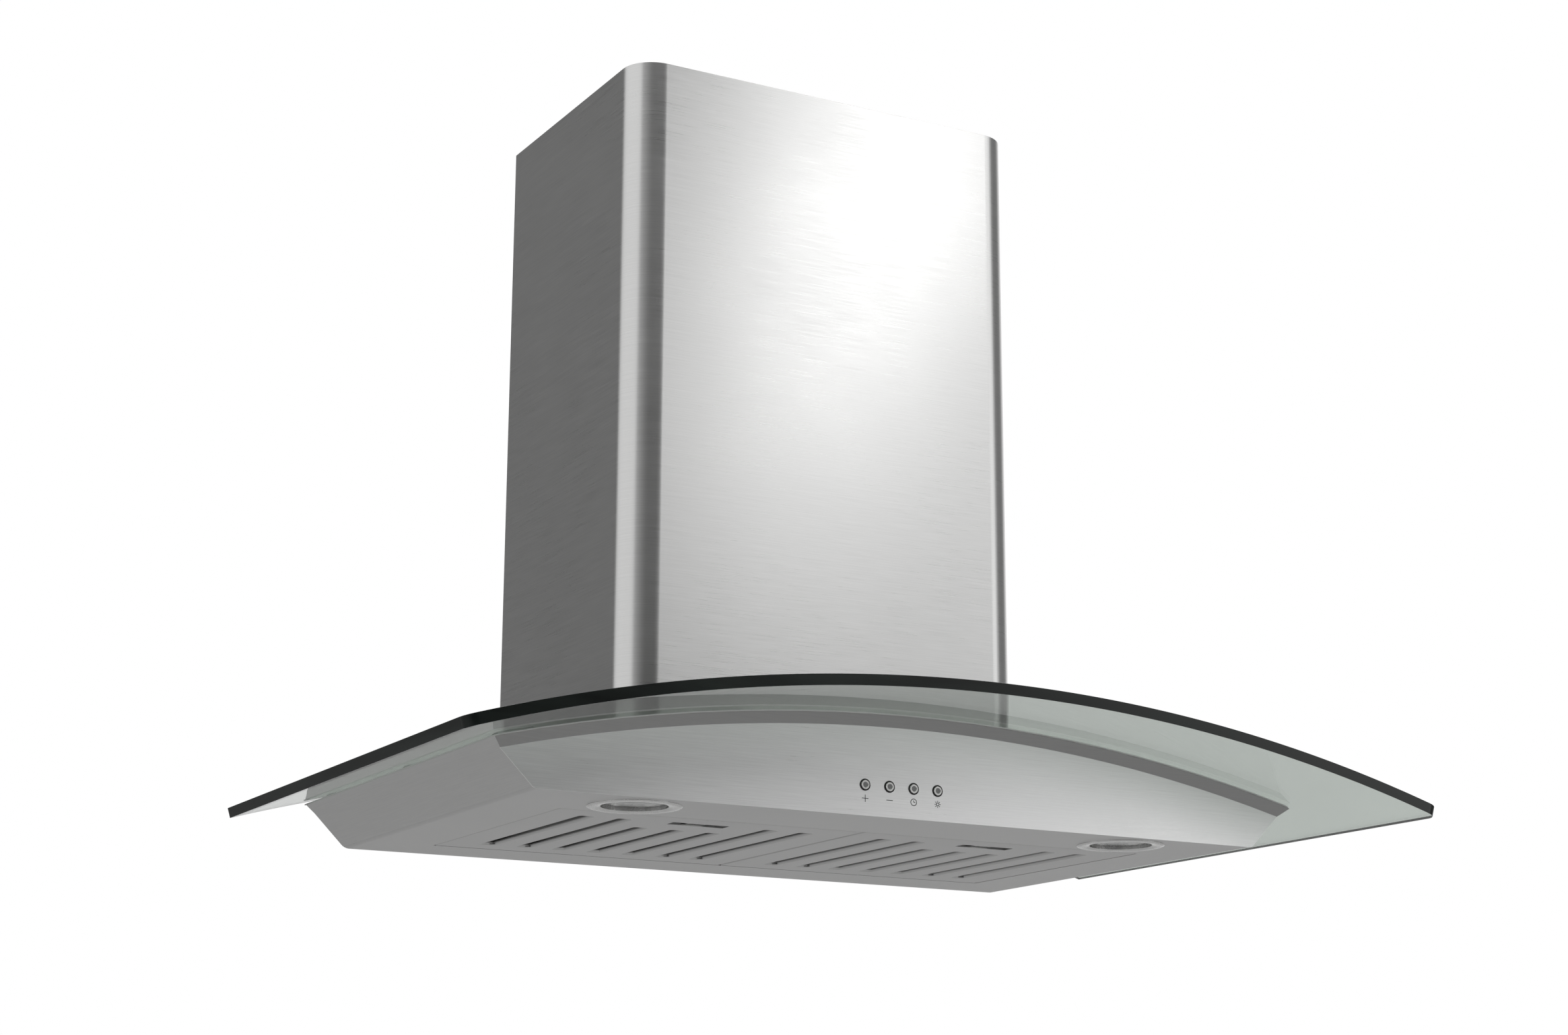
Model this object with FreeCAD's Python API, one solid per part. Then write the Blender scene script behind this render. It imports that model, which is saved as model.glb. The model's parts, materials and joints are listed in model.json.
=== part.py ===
import FreeCAD, Part
import math
import os

# Wall range hood with a curved glass canopy, built as separate pieces.
# Millimetres, +Z up, the wall is the plane y = 0 and the front looks towards -Y.
# Heights are worked out above the bottom rim; save() moves them so that the
# wall screws' centre is the origin.

V = FreeCAD.Vector
ALONG_X = V(1, 0, 0)
ALONG_Y = V(0, 1, 0)
ALONG_Z = V(0, 0, 1)

# ---- sheet metal, clearances and fits ----
SHEET = 1.0
PANEL_T = 1.2
RUN_GAP = 0.3        # between pieces that move past each other
PIN_GAP = 0.06       # radial gap of a hinge pin or shaft
OVERCUT = 2.0        # how far a cutting tool runs past a face

# ---- glass canopy: a sheet bent about an axis that runs front to back ----
GLASS_W = 900.0
GLASS_D = 530.0
GLASS_T = 9.0
GLASS_R = 1560.0     # bend radius of the underside
GLASS_CROWN = 85.0   # height of the underside at the middle
GLASS_CORNER = 10.0
ARCH_SPARE = 3.0     # degrees that the arched blanks run past the glass's sides
NOTCH_HALF = 174.0   # the glass's cut-out under the chimney
NOTCH_D = 262.0
NOTCH_CORNER = 12.0
PAD_T = 1.5
PAD_W = 30.0
PAD_D = 12.0
PAD_INSET = 26.0     # from the top plate's edge to a pad's middle
BOLT_X = 186.0
BOLT_Y = (-236.0, -34.0)
BOLT_R = 3.0
BOLT_HEAD_R = 5.5
BOLT_HEAD_H = 3.5
NUT_R = 5.5
NUT_H = 4.0

# ---- body ----
BODY_W = 684.0       # across the bottom
BODY_D = 410.0
FLARE = 29.0         # how far each side leans out up to its shoulder
LIP_DROP = 11.0      # from the glass down to the shoulder and the panel's top edge
LIP_LEAN = 8.0
PLATE_LAP = 1.5      # the top plate's edge past the lip
THROAT_HALF = 150.0  # the air opening in the top plate
THROAT_Y = (-250.0, -20.0)
UPSTAND_H = 9.0
SEAM = 0.8           # how far each side's top edge laps into the lip

# ---- wall fixings in the back plate ----
WALL_HOLE_X = 150.0
WALL_HOLE_Z = 45.0
WALL_HOLE_R = 4.0
KEYHOLE_X = 215.0
KEYHOLE_Z = 36.0
KEYHOLE_R = 6.0
KEYHOLE_SLOT_R = 3.2
KEYHOLE_RISE = 13.0

# ---- baffle filters ----
FILTER_W = 280.0
FILTER_H = 12.0
FILTER_GAP = 1.0     # round each filter in the aperture
FILTER_REAR = -60.0
FRONT_MARGIN = 88.0  # from the front panel back to the filters
SLOT_COUNT = 7
SLOT_W = 10.5
SLOT_MARGIN_X = 38.0       # from a filter's side to its outer slot's middle
SLOT_MARGIN_REAR = 27.0
SLOT_MARGIN_FRONT = 30.0
SLOT_MARGIN_LATCH = 70.0   # the middle slots stop short of the latch
SLOT_LIP_H = 3.0
BAFFLE_SPACE = 9.0         # between two upper channels
BAFFLE_FOOT = 5.0    # height of the upper channels' lower edge
TAB_X = 80.0
TAB_W = 25.0
TAB_REACH = 6.0
LATCH_W = 52.0
LATCH_MARGIN = 25.0
LATCH_WINDOW_D = 13.0
LATCH_T = 1.2
LATCH_STEM_HALF = 9.0
FINGER_T = 1.5
SPRING_R = 2.0
SPRING_WIRE_R = 0.35
SPRING_L = 14.0
SPRING_PITCH = 2.0
STOP_T = 2.0

# ---- lamps in the underside ----
LAMP_X = 235.0
LAMP_MARGIN = 47.0   # from the front panel back to a lamp's middle
TRIM_R = 38.0
TRIM_T = 1.2
LENS_R = 27.0
LENS_T = 3.0
LENS_RECESS = 2.0
LAMP_BODY_R = 32.0
LAMP_BODY_H = 32.0   # low enough to clear the arched top plate at its outer side
BULB_R = 20.0
BULB_DEPTH = 9.0
BULB_PIN_R = 1.5

# ---- push buttons on the front panel ----
BUTTON_X = -17.0     # middle of the row
BUTTON_Z = 25.0
BUTTON_PITCH = 23.0
BUTTON_NAMES = ("speed_up", "speed_down", "timer", "light")
CAP_R = 3.8
CAP_PROUD = 1.3
CAP_FLANGE_R = 5.0
CAP_FLANGE_T = 1.5
CAP_DISH_R = 2.2
CAP_DISH_DEPTH = 0.3
BEZEL_R = 4.9
BEZEL_NECK_R = 4.5
BEZEL_T = 0.6
HOLDER_MARGIN = 10.0
HOLDER_H = 26.0
HOLDER_FACE_T = 3.0
HOLDER_POCKET = 3.0
HOLDER_POST = 3.0
SWITCH_W = 6.0
SWITCH_T = 3.5
BOARD_T = 1.6
SYMBOL_Z = 14.0
SYMBOL_R = 3.0
SYMBOL_LINE = 0.55
SYMBOL_T = 0.1
RAY_COUNT = 8        # strokes round the light symbol
RAY_L = 1.0
RAY_AT = 2.4         # from the symbol's middle to a stroke's middle

# ---- blower ----
BOX_HALF = 160.0
BOX_Y = (-258.0, -10.0)
BOX_TOP = 400.0
FLANGE_W = 12.0
SCROLL_AXIS = (-158.0, 225.0)   # y and z of the wheel's axis
SCROLL_R = 92.0
SCROLL_STEP = 5.0     # growth of the scroll in each quarter turn
SCROLL_HALF = 55.0
QUARTERS = 3          # quarter turns from the outlet's lip to the scroll's rear wall
INLET_R = 66.0
WHEEL_R = 85.0
WHEEL_HALF = 48.0
BLADE_DEPTH = 13.0
BLADE_T = 0.8
BLADE_TILT = 32.0
BLADE_COUNT = 36
WHEEL_RING_T = 2.0
HUB_R = 12.0
HUB_X = (-5.0, 14.0)
SHAFT_R = 6.0
SHAFT_X = (-100.0, 20.0)
MOTOR_R = 46.0
MOTOR_X = (-92.0, -10.0)
MOTOR_NECK_R = 16.0
MOTOR_NECK_L = 6.0
SPIDER_RING_R = 53.0
SPIDER_REACH = 80.0
SPIDER_T = 3.0
SPIDER_ARM_W = 14.0
SPIDER_SCREW_R = 74.0
SPIDER_ARMS = 3
SPIDER_FIRST = 90

# ---- duct collar and damper ----
COLLAR_R = 75.0
COLLAR_Y = -110.0
COLLAR_H = 62.0
COLLAR_WALL = 1.2
COLLAR_RIM = 14.0    # from the pipe to the plate's edge
COLLAR_PLATE_T = 1.5
COLLAR_SCREW_OUT = 5.0     # a screw's x and y past the pipe's radius
DAMPER_LIFT = 24.0   # the damper pin above the collar's plate
DAMPER_PIN_R = 2.0
PIN_RECESS = 0.4     # the pin's ends stop short of the collar's outside
KNUCKLE_R = 3.2
KNUCKLE_L = 28.0
KNUCKLE_SPAN = 60.0
FLAP_GAP = 1.4       # between a closed flap and the pipe's bore
FLAP_T = 1.0
STOP_RING_W = 5.0
STOP_RING_T = 1.0

# ---- electrics beside the blower ----
CASE_D = 30.0
CASE_Y = (-205.0, -65.0)
CASE_Z = (210.0, 330.0)
CASE_WALL = 1.5
CASE_LID_T = 2.0
CARD_OFF = 6.0        # the board's stand-off, and its posts' inset from its edges
CARD_EDGE = 3.0
CARD_POST_R = 3.0
RELAY_L = 30.0
RELAY_W = 24.0
RELAY_H = 12.0
CARD_T = 1.6
GLAND_R = 8.0
GLAND_L = 16.0
GLAND_BORE_R = 4.0
CAPACITOR_R = 14.0
CAPACITOR_L = 62.0
CAPACITOR_Z = 180.0
CLIP_W = 9.0

# ---- chimney ----
CHIMNEY_W = 396.0
CHIMNEY_D = 268.0
CHIMNEY_TOP = 682.0
CHIMNEY_CORNER = 30.0
RETURN_W = 14.0
NEST_GAP = 0.8       # between the cover and the extension inside it
EXTENSION_LOW = 166.0
EXTENSION_DROP = 6.0       # the lowered extension's top, below the cover's
BRACKET_DROP = 14.0
BRACKET_H = 32.0
BRACKET_T = 1.5
EAR_D = 30.0
BRACKET_HOLE_X = 120.0
BRACKET_HOLE_R = 3.5
EAR_HOLE_R = 2.2

# ---- small screws ----
SCREW_R = 2.0
SCREW_HEAD_R = 3.8
SCREW_HEAD_H = 2.0
SCREW_L = 6.0

# ---- worked out from the sizes above ----
ARCH_Z = GLASS_CROWN - GLASS_R       # height of the bend axis
ARCH_ANGLE = math.degrees(math.asin(GLASS_W / 2 / GLASS_R)) + ARCH_SPARE
PLATE_DROP = PAD_T                   # the top plate's upper face, below the glass
LIP_TOP = PAD_T + SHEET              # the lip's upper edge, below the glass
RIM_HALF = BODY_W / 2
SHOULDER_HALF = RIM_HALF + FLARE
LIP_HALF = SHOULDER_HALF + LIP_LEAN
PANEL_BACK = -BODY_D + PANEL_T
FILTER_FRONT = -BODY_D + FRONT_MARGIN
SLOT_PITCH = (FILTER_W - 2 * SLOT_MARGIN_X) / (SLOT_COUNT - 1)
SLOT_REAR = FILTER_REAR - SLOT_MARGIN_REAR
SLOT_FRONT = FILTER_FRONT + SLOT_MARGIN_FRONT
SLOT_FRONT_SHORT = FILTER_FRONT + SLOT_MARGIN_LATCH
BAFFLE_W = SLOT_PITCH - BAFFLE_SPACE
LATCH_Y = FILTER_FRONT + LATCH_MARGIN
LAMP_Y = -BODY_D + LAMP_MARGIN
FILTER_X = FILTER_GAP + FILTER_W / 2
APERTURE_HALF = 2 * FILTER_GAP + FILTER_W
APERTURE_Y = (FILTER_FRONT - FILTER_GAP, FILTER_REAR + FILTER_GAP)
HOLDER_BACK = PANEL_BACK + HOLDER_FACE_T + HOLDER_POCKET
SWITCH_FRONT = HOLDER_BACK + RUN_GAP
BOARD_FRONT = SWITCH_FRONT + SWITCH_T
GUIDE_R = CAP_R + RUN_GAP
COLLAR_BASE = BOX_TOP
COLLAR_PLATE = 2 * (COLLAR_R + COLLAR_RIM)
COLLAR_SCREW = COLLAR_R + COLLAR_SCREW_OUT
FLAP_R = COLLAR_R - COLLAR_WALL - FLAP_GAP
DAMPER_Z = COLLAR_BASE + COLLAR_PLATE_T + DAMPER_LIFT
CHIMNEY_HALF = CHIMNEY_W / 2
EXTENSION_Z = (EXTENSION_LOW, CHIMNEY_TOP - EXTENSION_DROP)
BRACKET_Z = (CHIMNEY_TOP - BRACKET_DROP - BRACKET_H, CHIMNEY_TOP - BRACKET_DROP)


def arch(x, drop):
    """Height at x of a surface that follows the glass, drop below its underside."""
    return ARCH_Z + math.sqrt((GLASS_R - drop) ** 2 - x ** 2)


def box(x, y, z):
    """A block between the low and high end of each pair."""
    return Part.makeBox(x[1] - x[0], y[1] - y[0], z[1] - z[0], V(x[0], y[0], z[0]))


def rod(r, start, end):
    """A cylinder between two points."""
    line = end - start
    return Part.makeCylinder(r, line.Length, start, line)


def tube(r_out, r_in, start, end):
    """A pipe between two points."""
    return rod(r_out, start, end).cut(rod(r_in, start, end))


def prism(points, direction):
    """A solid from a closed outline, pushed along direction."""
    return Part.Face(Part.makePolygon(points + [points[0]])).extrude(direction)


def join(shapes):
    """One solid from touching shapes."""
    first = shapes[0].multiFuse(shapes[1:]) if len(shapes) > 1 else shapes[0]
    return first.removeSplitter()


def group(solids):
    """Separate solids kept in one node."""
    return Part.makeCompound(solids)


def on_arch(shape, x):
    """A copy of a shape built at x = 0, swung along the glass's bend to x."""
    turned = shape.copy()
    angle = math.degrees(math.asin(x / GLASS_R))
    turned.rotate(V(0, 0, ARCH_Z), ALONG_Y, angle)
    return turned


def arched(points):
    """A solid that follows the glass: (y, drop) points swept round the bend axis."""
    corners = [V(0, y, GLASS_CROWN - drop) for y, drop in points]
    face = Part.Face(Part.makePolygon(corners + [corners[0]]))
    face.rotate(V(0, 0, ARCH_Z), ALONG_Y, -ARCH_ANGLE)
    return face.revolve(V(0, 0, ARCH_Z), ALONG_Y, 2 * ARCH_ANGLE)


def arched_slab(y, drops):
    """An arched sheet between two y values and two drops below the glass."""
    return arched([(y[0], drops[0]), (y[1], drops[0]), (y[1], drops[1]), (y[0], drops[1])])


def under_arch(drop):
    """Everything below a surface that follows the glass."""
    return rod(GLASS_R - drop, V(0, -GLASS_D * 2, ARCH_Z), V(0, GLASS_D, ARCH_Z))


def round_front(half, y, radius, z):
    """A block whose two front upright corners are rounded."""
    block = box((-half, half), y, z)
    edges = [e for e in block.Edges if is_front_corner(e, y[0])]
    return block.makeFillet(radius, edges)


def is_front_corner(edge, y_front):
    """True for an upright edge on a block's front face."""
    a, b = (v.Point for v in edge.Vertexes)
    upright = abs(a.z - b.z) > abs(a.x - b.x) + abs(a.y - b.y)
    return upright and abs(a.y - y_front) < SHEET / 10


def screw(at, into):
    """A pan-head screw: its head stands on the point, its shank goes into."""
    head = rod(SCREW_HEAD_R, at, at - into * SCREW_HEAD_H)
    return join([head, shank(at, into)])


def shank(at, into):
    """The screw's shank alone, which also cuts its hole."""
    return rod(SCREW_R, at, at + into * SCREW_L)


def mirror_x(shape):
    """The shape's other-handed twin across the middle plane."""
    return shape.mirror(V(0, 0, 0), ALONG_X)


def save(name, shape):
    """Write one node, with the wall screws' centre moved to the origin."""
    placed = shape.copy()
    placed.translate(V(0, 0, -WALL_HOLE_Z))
    placed.exportStep("parts/" + name + ".step")


# ---- body ----
def body_outline(inset, drop, low):
    """The body's cross-section: flat bottom, flared sides, arched top."""
    shoulder = arch(SHOULDER_HALF, LIP_DROP)
    shift = inset * math.hypot(FLARE, shoulder) / shoulder
    half_low = RIM_HALF + FLARE * low / shoulder - shift
    half_top = SHOULDER_HALF - shift
    left = V(-half_top, 0, arch(half_top, drop))
    right = V(half_top, 0, arch(half_top, drop))
    points = [left, V(-half_low, 0, low), V(half_low, 0, low), right]
    top = Part.Arc(right, V(0, 0, arch(0, drop)), left).toShape()
    edges = [Part.makeLine(points[i], points[i + 1]) for i in range(len(points) - 1)]
    return Part.Face(Part.Wire(edges + [top]))


def trough():
    """Bottom and two flared sides, open at the front, back and top."""
    shoulder = arch(SHOULDER_HALF, LIP_DROP)
    shift = SHEET * math.hypot(FLARE, shoulder) / shoulder
    lean = FLARE / shoulder
    high = shoulder + OVERCUT
    top = shoulder + SEAM
    half_top = RIM_HALF + lean * top
    outer = [(-half_top, top), (-RIM_HALF, 0), (RIM_HALF, 0), (half_top, top)]
    half_low = RIM_HALF + lean * SHEET - shift
    half_high = RIM_HALF + lean * high - shift
    inner = [(-half_high, high), (-half_low, SHEET), (half_low, SHEET), (half_high, high)]
    start = PANEL_BACK
    shell = prism([V(x, start, z) for x, z in outer], V(0, -start, 0))
    hollow = prism([V(x, start - OVERCUT, z) for x, z in inner], V(0, 2 * OVERCUT - start, 0))
    return shell.cut(hollow)


def lip_body(inset):
    """The flared collar above the shoulders, as a solid reduced by inset."""
    rise = LIP_DROP - LIP_TOP
    lean = LIP_LEAN / rise
    shift = inset * math.hypot(LIP_LEAN, rise) / rise
    extra = OVERCUT if inset else 0
    low_y = -BODY_D + shift + lean * extra
    high_y = -BODY_D - LIP_LEAN + shift - lean * extra
    low, high = LIP_DROP + extra, LIP_TOP - extra
    solid = arched([(extra, low), (low_y, low), (high_y, high), (extra, high)])
    shoulder = arch(SHOULDER_HALF, LIP_DROP)
    side_rise = arch(LIP_HALF, LIP_TOP) - shoulder
    side_lean = LIP_LEAN / side_rise
    side_shift = inset * math.hypot(LIP_LEAN, side_rise) / side_rise
    top = GLASS_CROWN
    half = SHOULDER_HALF - side_shift
    wide = half + side_lean * (top - shoulder)
    outline = [(-half, 0), (half, 0), (half, shoulder), (wide, top), (-wide, top), (-half, shoulder)]
    start = -BODY_D - 2 * LIP_LEAN
    bound = prism([V(x, start, z) for x, z in outline], V(0, 2 * OVERCUT - start, 0))
    return solid.common(bound)


def aperture_upstand():
    """Stiffening walls along the front and sides of the filter aperture."""
    high = (SHEET, UPSTAND_H)
    out = APERTURE_HALF + SHEET
    front = box((-out, out), (APERTURE_Y[0] - SHEET, APERTURE_Y[0]), high)
    right = box((APERTURE_HALF, out), APERTURE_Y, high)
    return [front, right, mirror_x(right)]


def hood_shell():
    """Underside, flared sides and collar lip in one welded sheet piece."""
    ring = lip_body(0).cut(lip_body(SHEET))
    ring = ring.cut(box((-LIP_HALF, LIP_HALF), (0, OVERCUT), (0, GLASS_CROWN)))
    shell = join([trough(), ring] + aperture_upstand())
    shell = shell.cut(box((-APERTURE_HALF, APERTURE_HALF), APERTURE_Y, (-OVERCUT, SHEET)))
    for x in (-LAMP_X, LAMP_X):
        shell = shell.cut(rod(LAMP_BODY_R, V(x, LAMP_Y, -OVERCUT), V(x, LAMP_Y, OVERCUT)))
    return shell


def button_places():
    """The x of each button, from left to right."""
    first = BUTTON_X - BUTTON_PITCH * (len(BUTTON_NAMES) - 1) / 2
    return [first + BUTTON_PITCH * i for i in range(len(BUTTON_NAMES))]


def front_panel():
    """The flat panel that closes the front, with its button holes."""
    face = body_outline(0, LIP_DROP, 0)
    face.translate(V(0, -BODY_D, 0))
    panel = face.extrude(V(0, PANEL_T, 0))
    for x in button_places():
        hole = rod(BEZEL_NECK_R, V(x, -BODY_D - OVERCUT, BUTTON_Z), V(x, PANEL_BACK + OVERCUT, BUTTON_Z))
        panel = panel.cut(hole)
    return panel


def keyhole(x):
    """A hanging slot: a round mouth with a narrow neck above it."""
    mouth = rod(KEYHOLE_R, V(x, -OVERCUT, KEYHOLE_Z), V(x, OVERCUT, KEYHOLE_Z))
    top = KEYHOLE_Z + KEYHOLE_RISE
    neck = rod(KEYHOLE_SLOT_R, V(x, -OVERCUT, top), V(x, OVERCUT, top))
    slot_x = (x - KEYHOLE_SLOT_R, x + KEYHOLE_SLOT_R)
    slot = box(slot_x, (-OVERCUT, OVERCUT), (KEYHOLE_Z, top))
    return join([mouth, neck, slot])


def back_plate():
    """The body's rear wall, with its hanging slots and screw holes."""
    face = body_outline(SHEET, LIP_TOP, SHEET)
    face.translate(V(0, -SHEET, 0))
    plate = face.extrude(V(0, SHEET, 0))
    for x in (-WALL_HOLE_X, WALL_HOLE_X):
        plate = plate.cut(rod(WALL_HOLE_R, V(x, -OVERCUT, WALL_HOLE_Z), V(x, OVERCUT, WALL_HOLE_Z)))
    for x in (-KEYHOLE_X, KEYHOLE_X):
        plate = plate.cut(keyhole(x))
    return plate


def flange_screw_places():
    """Where the blower box is screwed to the top plate: x and y."""
    x = BOX_HALF + FLANGE_W / 2
    inset = FLANGE_W * 2
    ys = (BOX_Y[0] + inset, (BOX_Y[0] + BOX_Y[1]) / 2, BOX_Y[1] - inset)
    return [(side * x, y) for side in (-1, 1) for y in ys]


def flange_screws(make):
    """Screws or shanks through the blower box's flanges, square to the arch."""
    top = GLASS_CROWN - PLATE_DROP + SHEET
    return [on_arch(make(V(0, y, top), -ALONG_Z), x) for x, y in flange_screw_places()]


def bolt_places():
    """Where the glass is bolted down: x and y."""
    return [(side * BOLT_X, y) for side in (-1, 1) for y in BOLT_Y]


def bolt_shank(y):
    """A glass bolt's shank at x = 0, from its head to its nut's end."""
    return rod(BOLT_R, V(0, y, GLASS_CROWN - LIP_TOP - NUT_H), V(0, y, GLASS_CROWN + GLASS_T))


def top_plate():
    """The arched plate that carries the glass and the blower."""
    half = LIP_HALF + PLATE_LAP
    front = -BODY_D - LIP_LEAN - PLATE_LAP
    plate = arched_slab((front, 0), (PLATE_DROP, LIP_TOP))
    plate = plate.common(round_front(half, (front, 0), LIP_LEAN, (0, GLASS_CROWN + GLASS_T)))
    throat = box((-THROAT_HALF, THROAT_HALF), THROAT_Y, (0, GLASS_CROWN + GLASS_T))
    plate = plate.cut(throat)
    for x, y in bolt_places():
        plate = plate.cut(on_arch(bolt_shank(y), x))
    for hole in flange_screws(shank):
        plate = plate.cut(hole)
    return plate


# ---- glass ----
def glass_canopy():
    """The bent glass sheet, notched at the back round the blower box."""
    sheet = arched_slab((-GLASS_D, 0), (-GLASS_T, 0))
    high = (-GLASS_CROWN, 2 * GLASS_CROWN)
    sheet = sheet.common(round_front(GLASS_W / 2, (-GLASS_D, 0), GLASS_CORNER, high))
    sheet = sheet.cut(round_front(NOTCH_HALF, (-NOTCH_D, OVERCUT), NOTCH_CORNER, high))
    for x, y in bolt_places():
        sheet = sheet.cut(on_arch(bolt_shank(y), x))
    return sheet


def glass_pads():
    """Clear pads between the glass and the top plate."""
    front = -BODY_D - LIP_LEAN + PAD_INSET
    back = -PAD_INSET
    side = LIP_HALF - PAD_INSET
    low, high = GLASS_CROWN - PAD_T, GLASS_CROWN
    along_front = [-side, -side / 2, 0, side / 2, side]
    along_sides = [(x, y) for x in (-side, side) for y in (back, (front + back) / 2)]
    places = [(x, front) for x in along_front] + along_sides
    pads = []
    for x, y in places:
        pad = box((-PAD_W / 2, PAD_W / 2), (y - PAD_D / 2, y + PAD_D / 2), (low, high))
        bent = pad.common(arched_slab((y - PAD_D, y + PAD_D), (0, PAD_T)))
        pads.append(on_arch(bent, x))
    for x, y in bolt_places():
        washer = tube(PAD_D / 2, BOLT_R, V(0, y, low), V(0, y, high))
        bent = washer.common(arched_slab((y - PAD_D, y + PAD_D), (0, PAD_T)))
        pads.append(on_arch(bent, x))
    return group(pads)


def glass_bolts():
    """Bolts that clamp the glass to the top plate, hidden by the chimney."""
    bolts = []
    for x, y in bolt_places():
        top = GLASS_CROWN + GLASS_T
        head = rod(BOLT_HEAD_R, V(0, y, top), V(0, y, top + BOLT_HEAD_H))
        under = GLASS_CROWN - LIP_TOP
        nut = rod(NUT_R, V(0, y, under - NUT_H), V(0, y, under)).common(under_arch(LIP_TOP))
        bolts.append(on_arch(join([head, bolt_shank(y), nut]), x))
    return group(bolts)


# ---- baffle filters, built round x = 0 and moved to their side ----
def slot_places():
    """Each slot's x and front end; the middle ones stop short of the latch."""
    middle = SLOT_COUNT // 2
    places = []
    for i in range(SLOT_COUNT):
        front = SLOT_FRONT_SHORT if abs(i - middle) <= 1 else SLOT_FRONT
        places.append(((i - middle) * SLOT_PITCH, front))
    return places


def slot_block(x, front, grow, z):
    """A block as long as a slot, wider and longer by grow all round."""
    half = SLOT_W / 2 + grow
    return box((x - half, x + half), (front - grow, SLOT_REAR + grow), z)


def latch_window():
    """The finger opening in the filter's face."""
    return box((-LATCH_W / 2, LATCH_W / 2), (LATCH_Y, LATCH_Y + LATCH_WINDOW_D), (-OVERCUT, SHEET + OVERCUT))


def spring_seat_y():
    """The face of the small stop that the latch's spring pushes on."""
    return LATCH_Y + LATCH_WINDOW_D + SPRING_L + SHEET


def filter_tray():
    """The filter's outer tray: slotted face, four walls, hooks and spring stop."""
    half = FILTER_W / 2
    outer = box((-half, half), (FILTER_FRONT, FILTER_REAR), (0, FILTER_H))
    wall_y = (FILTER_FRONT + SHEET, FILTER_REAR - SHEET)
    inner = box((SHEET - half, half - SHEET), wall_y, (SHEET, FILTER_H + OVERCUT))
    tray = outer.cut(inner)
    rims = [slot_block(x, front, SHEET, (0, SLOT_LIP_H)) for x, front in slot_places()]
    stop_y = spring_seat_y()
    stop_half = LATCH_STEM_HALF / 2
    stop = box((-stop_half, stop_half), (stop_y, stop_y + STOP_T), (SHEET, BAFFLE_FOOT - RUN_GAP))
    hook_z = (SHEET + RUN_GAP, 2 * SHEET + RUN_GAP)
    hook_y = (FILTER_REAR - SHEET, FILTER_REAR + TAB_REACH)
    hooks = [box((x - TAB_W / 2, x + TAB_W / 2), hook_y, hook_z) for x in (-TAB_X, TAB_X)]
    tray = join([tray, stop] + rims + hooks)
    for x, front in slot_places():
        tray = tray.cut(slot_block(x, front, 0, (-OVERCUT, SLOT_LIP_H + OVERCUT)))
    tray = tray.cut(latch_window())
    gate_half = LATCH_STEM_HALF + RUN_GAP
    gate_z = (SHEET, SHEET + LATCH_T + 2 * RUN_GAP)
    gate = box((-gate_half, gate_half), (FILTER_FRONT - OVERCUT, FILTER_FRONT + SHEET), gate_z)
    return tray.cut(gate)


def filter_baffles():
    """Upper channels that cover the slots, between the tray's end walls."""
    y = (FILTER_FRONT + SHEET, FILTER_REAR - SHEET)
    half = BAFFLE_W / 2
    channels = []
    for x, front in slot_places():
        outer = box((x - half, x + half), y, (BAFFLE_FOOT, FILTER_H - SHEET))
        inner_x = (x - half + SHEET, x + half - SHEET)
        inner = box(inner_x, (y[0] - OVERCUT, y[1] + OVERCUT), (0, FILTER_H - 2 * SHEET))
        channels.append(outer.cut(inner))
    return group(channels)


def filter_latch():
    """The sliding latch: a plate with a tongue at the front and a finger lip."""
    low = SHEET + RUN_GAP
    z = (low, low + LATCH_T)
    half = LATCH_W / 2 - FINGER_T
    plate = box((-half, half), (LATCH_Y - SHEET, LATCH_Y), z)
    tongue_x = (-LATCH_STEM_HALF, LATCH_STEM_HALF)
    tongue = box(tongue_x, (FILTER_FRONT - FILTER_GAP / 2, LATCH_Y), z)
    web = box(tongue_x, (LATCH_Y, LATCH_Y + LATCH_WINDOW_D + SHEET), z)
    finger_z = (SHEET / 2, z[1])
    finger = box((-half, half), (LATCH_Y + RUN_GAP, LATCH_Y + RUN_GAP + FINGER_T), finger_z)
    return join([plate, tongue, web, finger])


def coil(radius, wire, length, pitch):
    """A spring wound along +Z from z = 0."""
    path = Part.makeHelix(pitch, length, radius)
    start = Part.Wire(Part.makeCircle(wire, V(radius, 0, 0), ALONG_Y))
    return Part.Wire(path).makePipeShell([start], True, True)


def latch_spring():
    """The spring that pushes the latch forward."""
    turns_l = SPRING_L - 2 * SPRING_WIRE_R
    spring = coil(SPRING_R, SPRING_WIRE_R, turns_l, SPRING_PITCH)
    spring.rotate(V(0, 0, 0), ALONG_X, -90)
    start = spring_seat_y() - SPRING_L + SPRING_WIRE_R
    spring.translate(V(0, start, SHEET + RUN_GAP + SPRING_R + SPRING_WIRE_R))
    return spring


# ---- lamps, built at x = 0 and moved to their side ----
def lamp_trim():
    """The ring that shows on the underside, with the neck that holds the lens."""
    flange = tube(TRIM_R, LENS_R, V(0, LAMP_Y, -TRIM_T), V(0, LAMP_Y, 0))
    neck_top = LENS_RECESS + LENS_T
    neck = tube(LENS_R + SHEET, LENS_R, V(0, LAMP_Y, -TRIM_T), V(0, LAMP_Y, neck_top))
    return join([flange, neck])


def lamp_lens():
    """The clear disc, set a little into the ring."""
    return rod(LENS_R, V(0, LAMP_Y, LENS_RECESS), V(0, LAMP_Y, LENS_RECESS + LENS_T))


def lamp_housing():
    """The can above the lens, closed on top."""
    can = rod(LAMP_BODY_R, V(0, LAMP_Y, 0), V(0, LAMP_Y, LAMP_BODY_H))
    hollow = rod(LENS_R + SHEET, V(0, LAMP_Y, -OVERCUT), V(0, LAMP_Y, LAMP_BODY_H - SHEET))
    socket = rod(2 * BULB_PIN_R, V(0, LAMP_Y, LAMP_BODY_H - OVERCUT), V(0, LAMP_Y, LAMP_BODY_H + SHEET))
    return can.cut(hollow).cut(socket)


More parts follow.
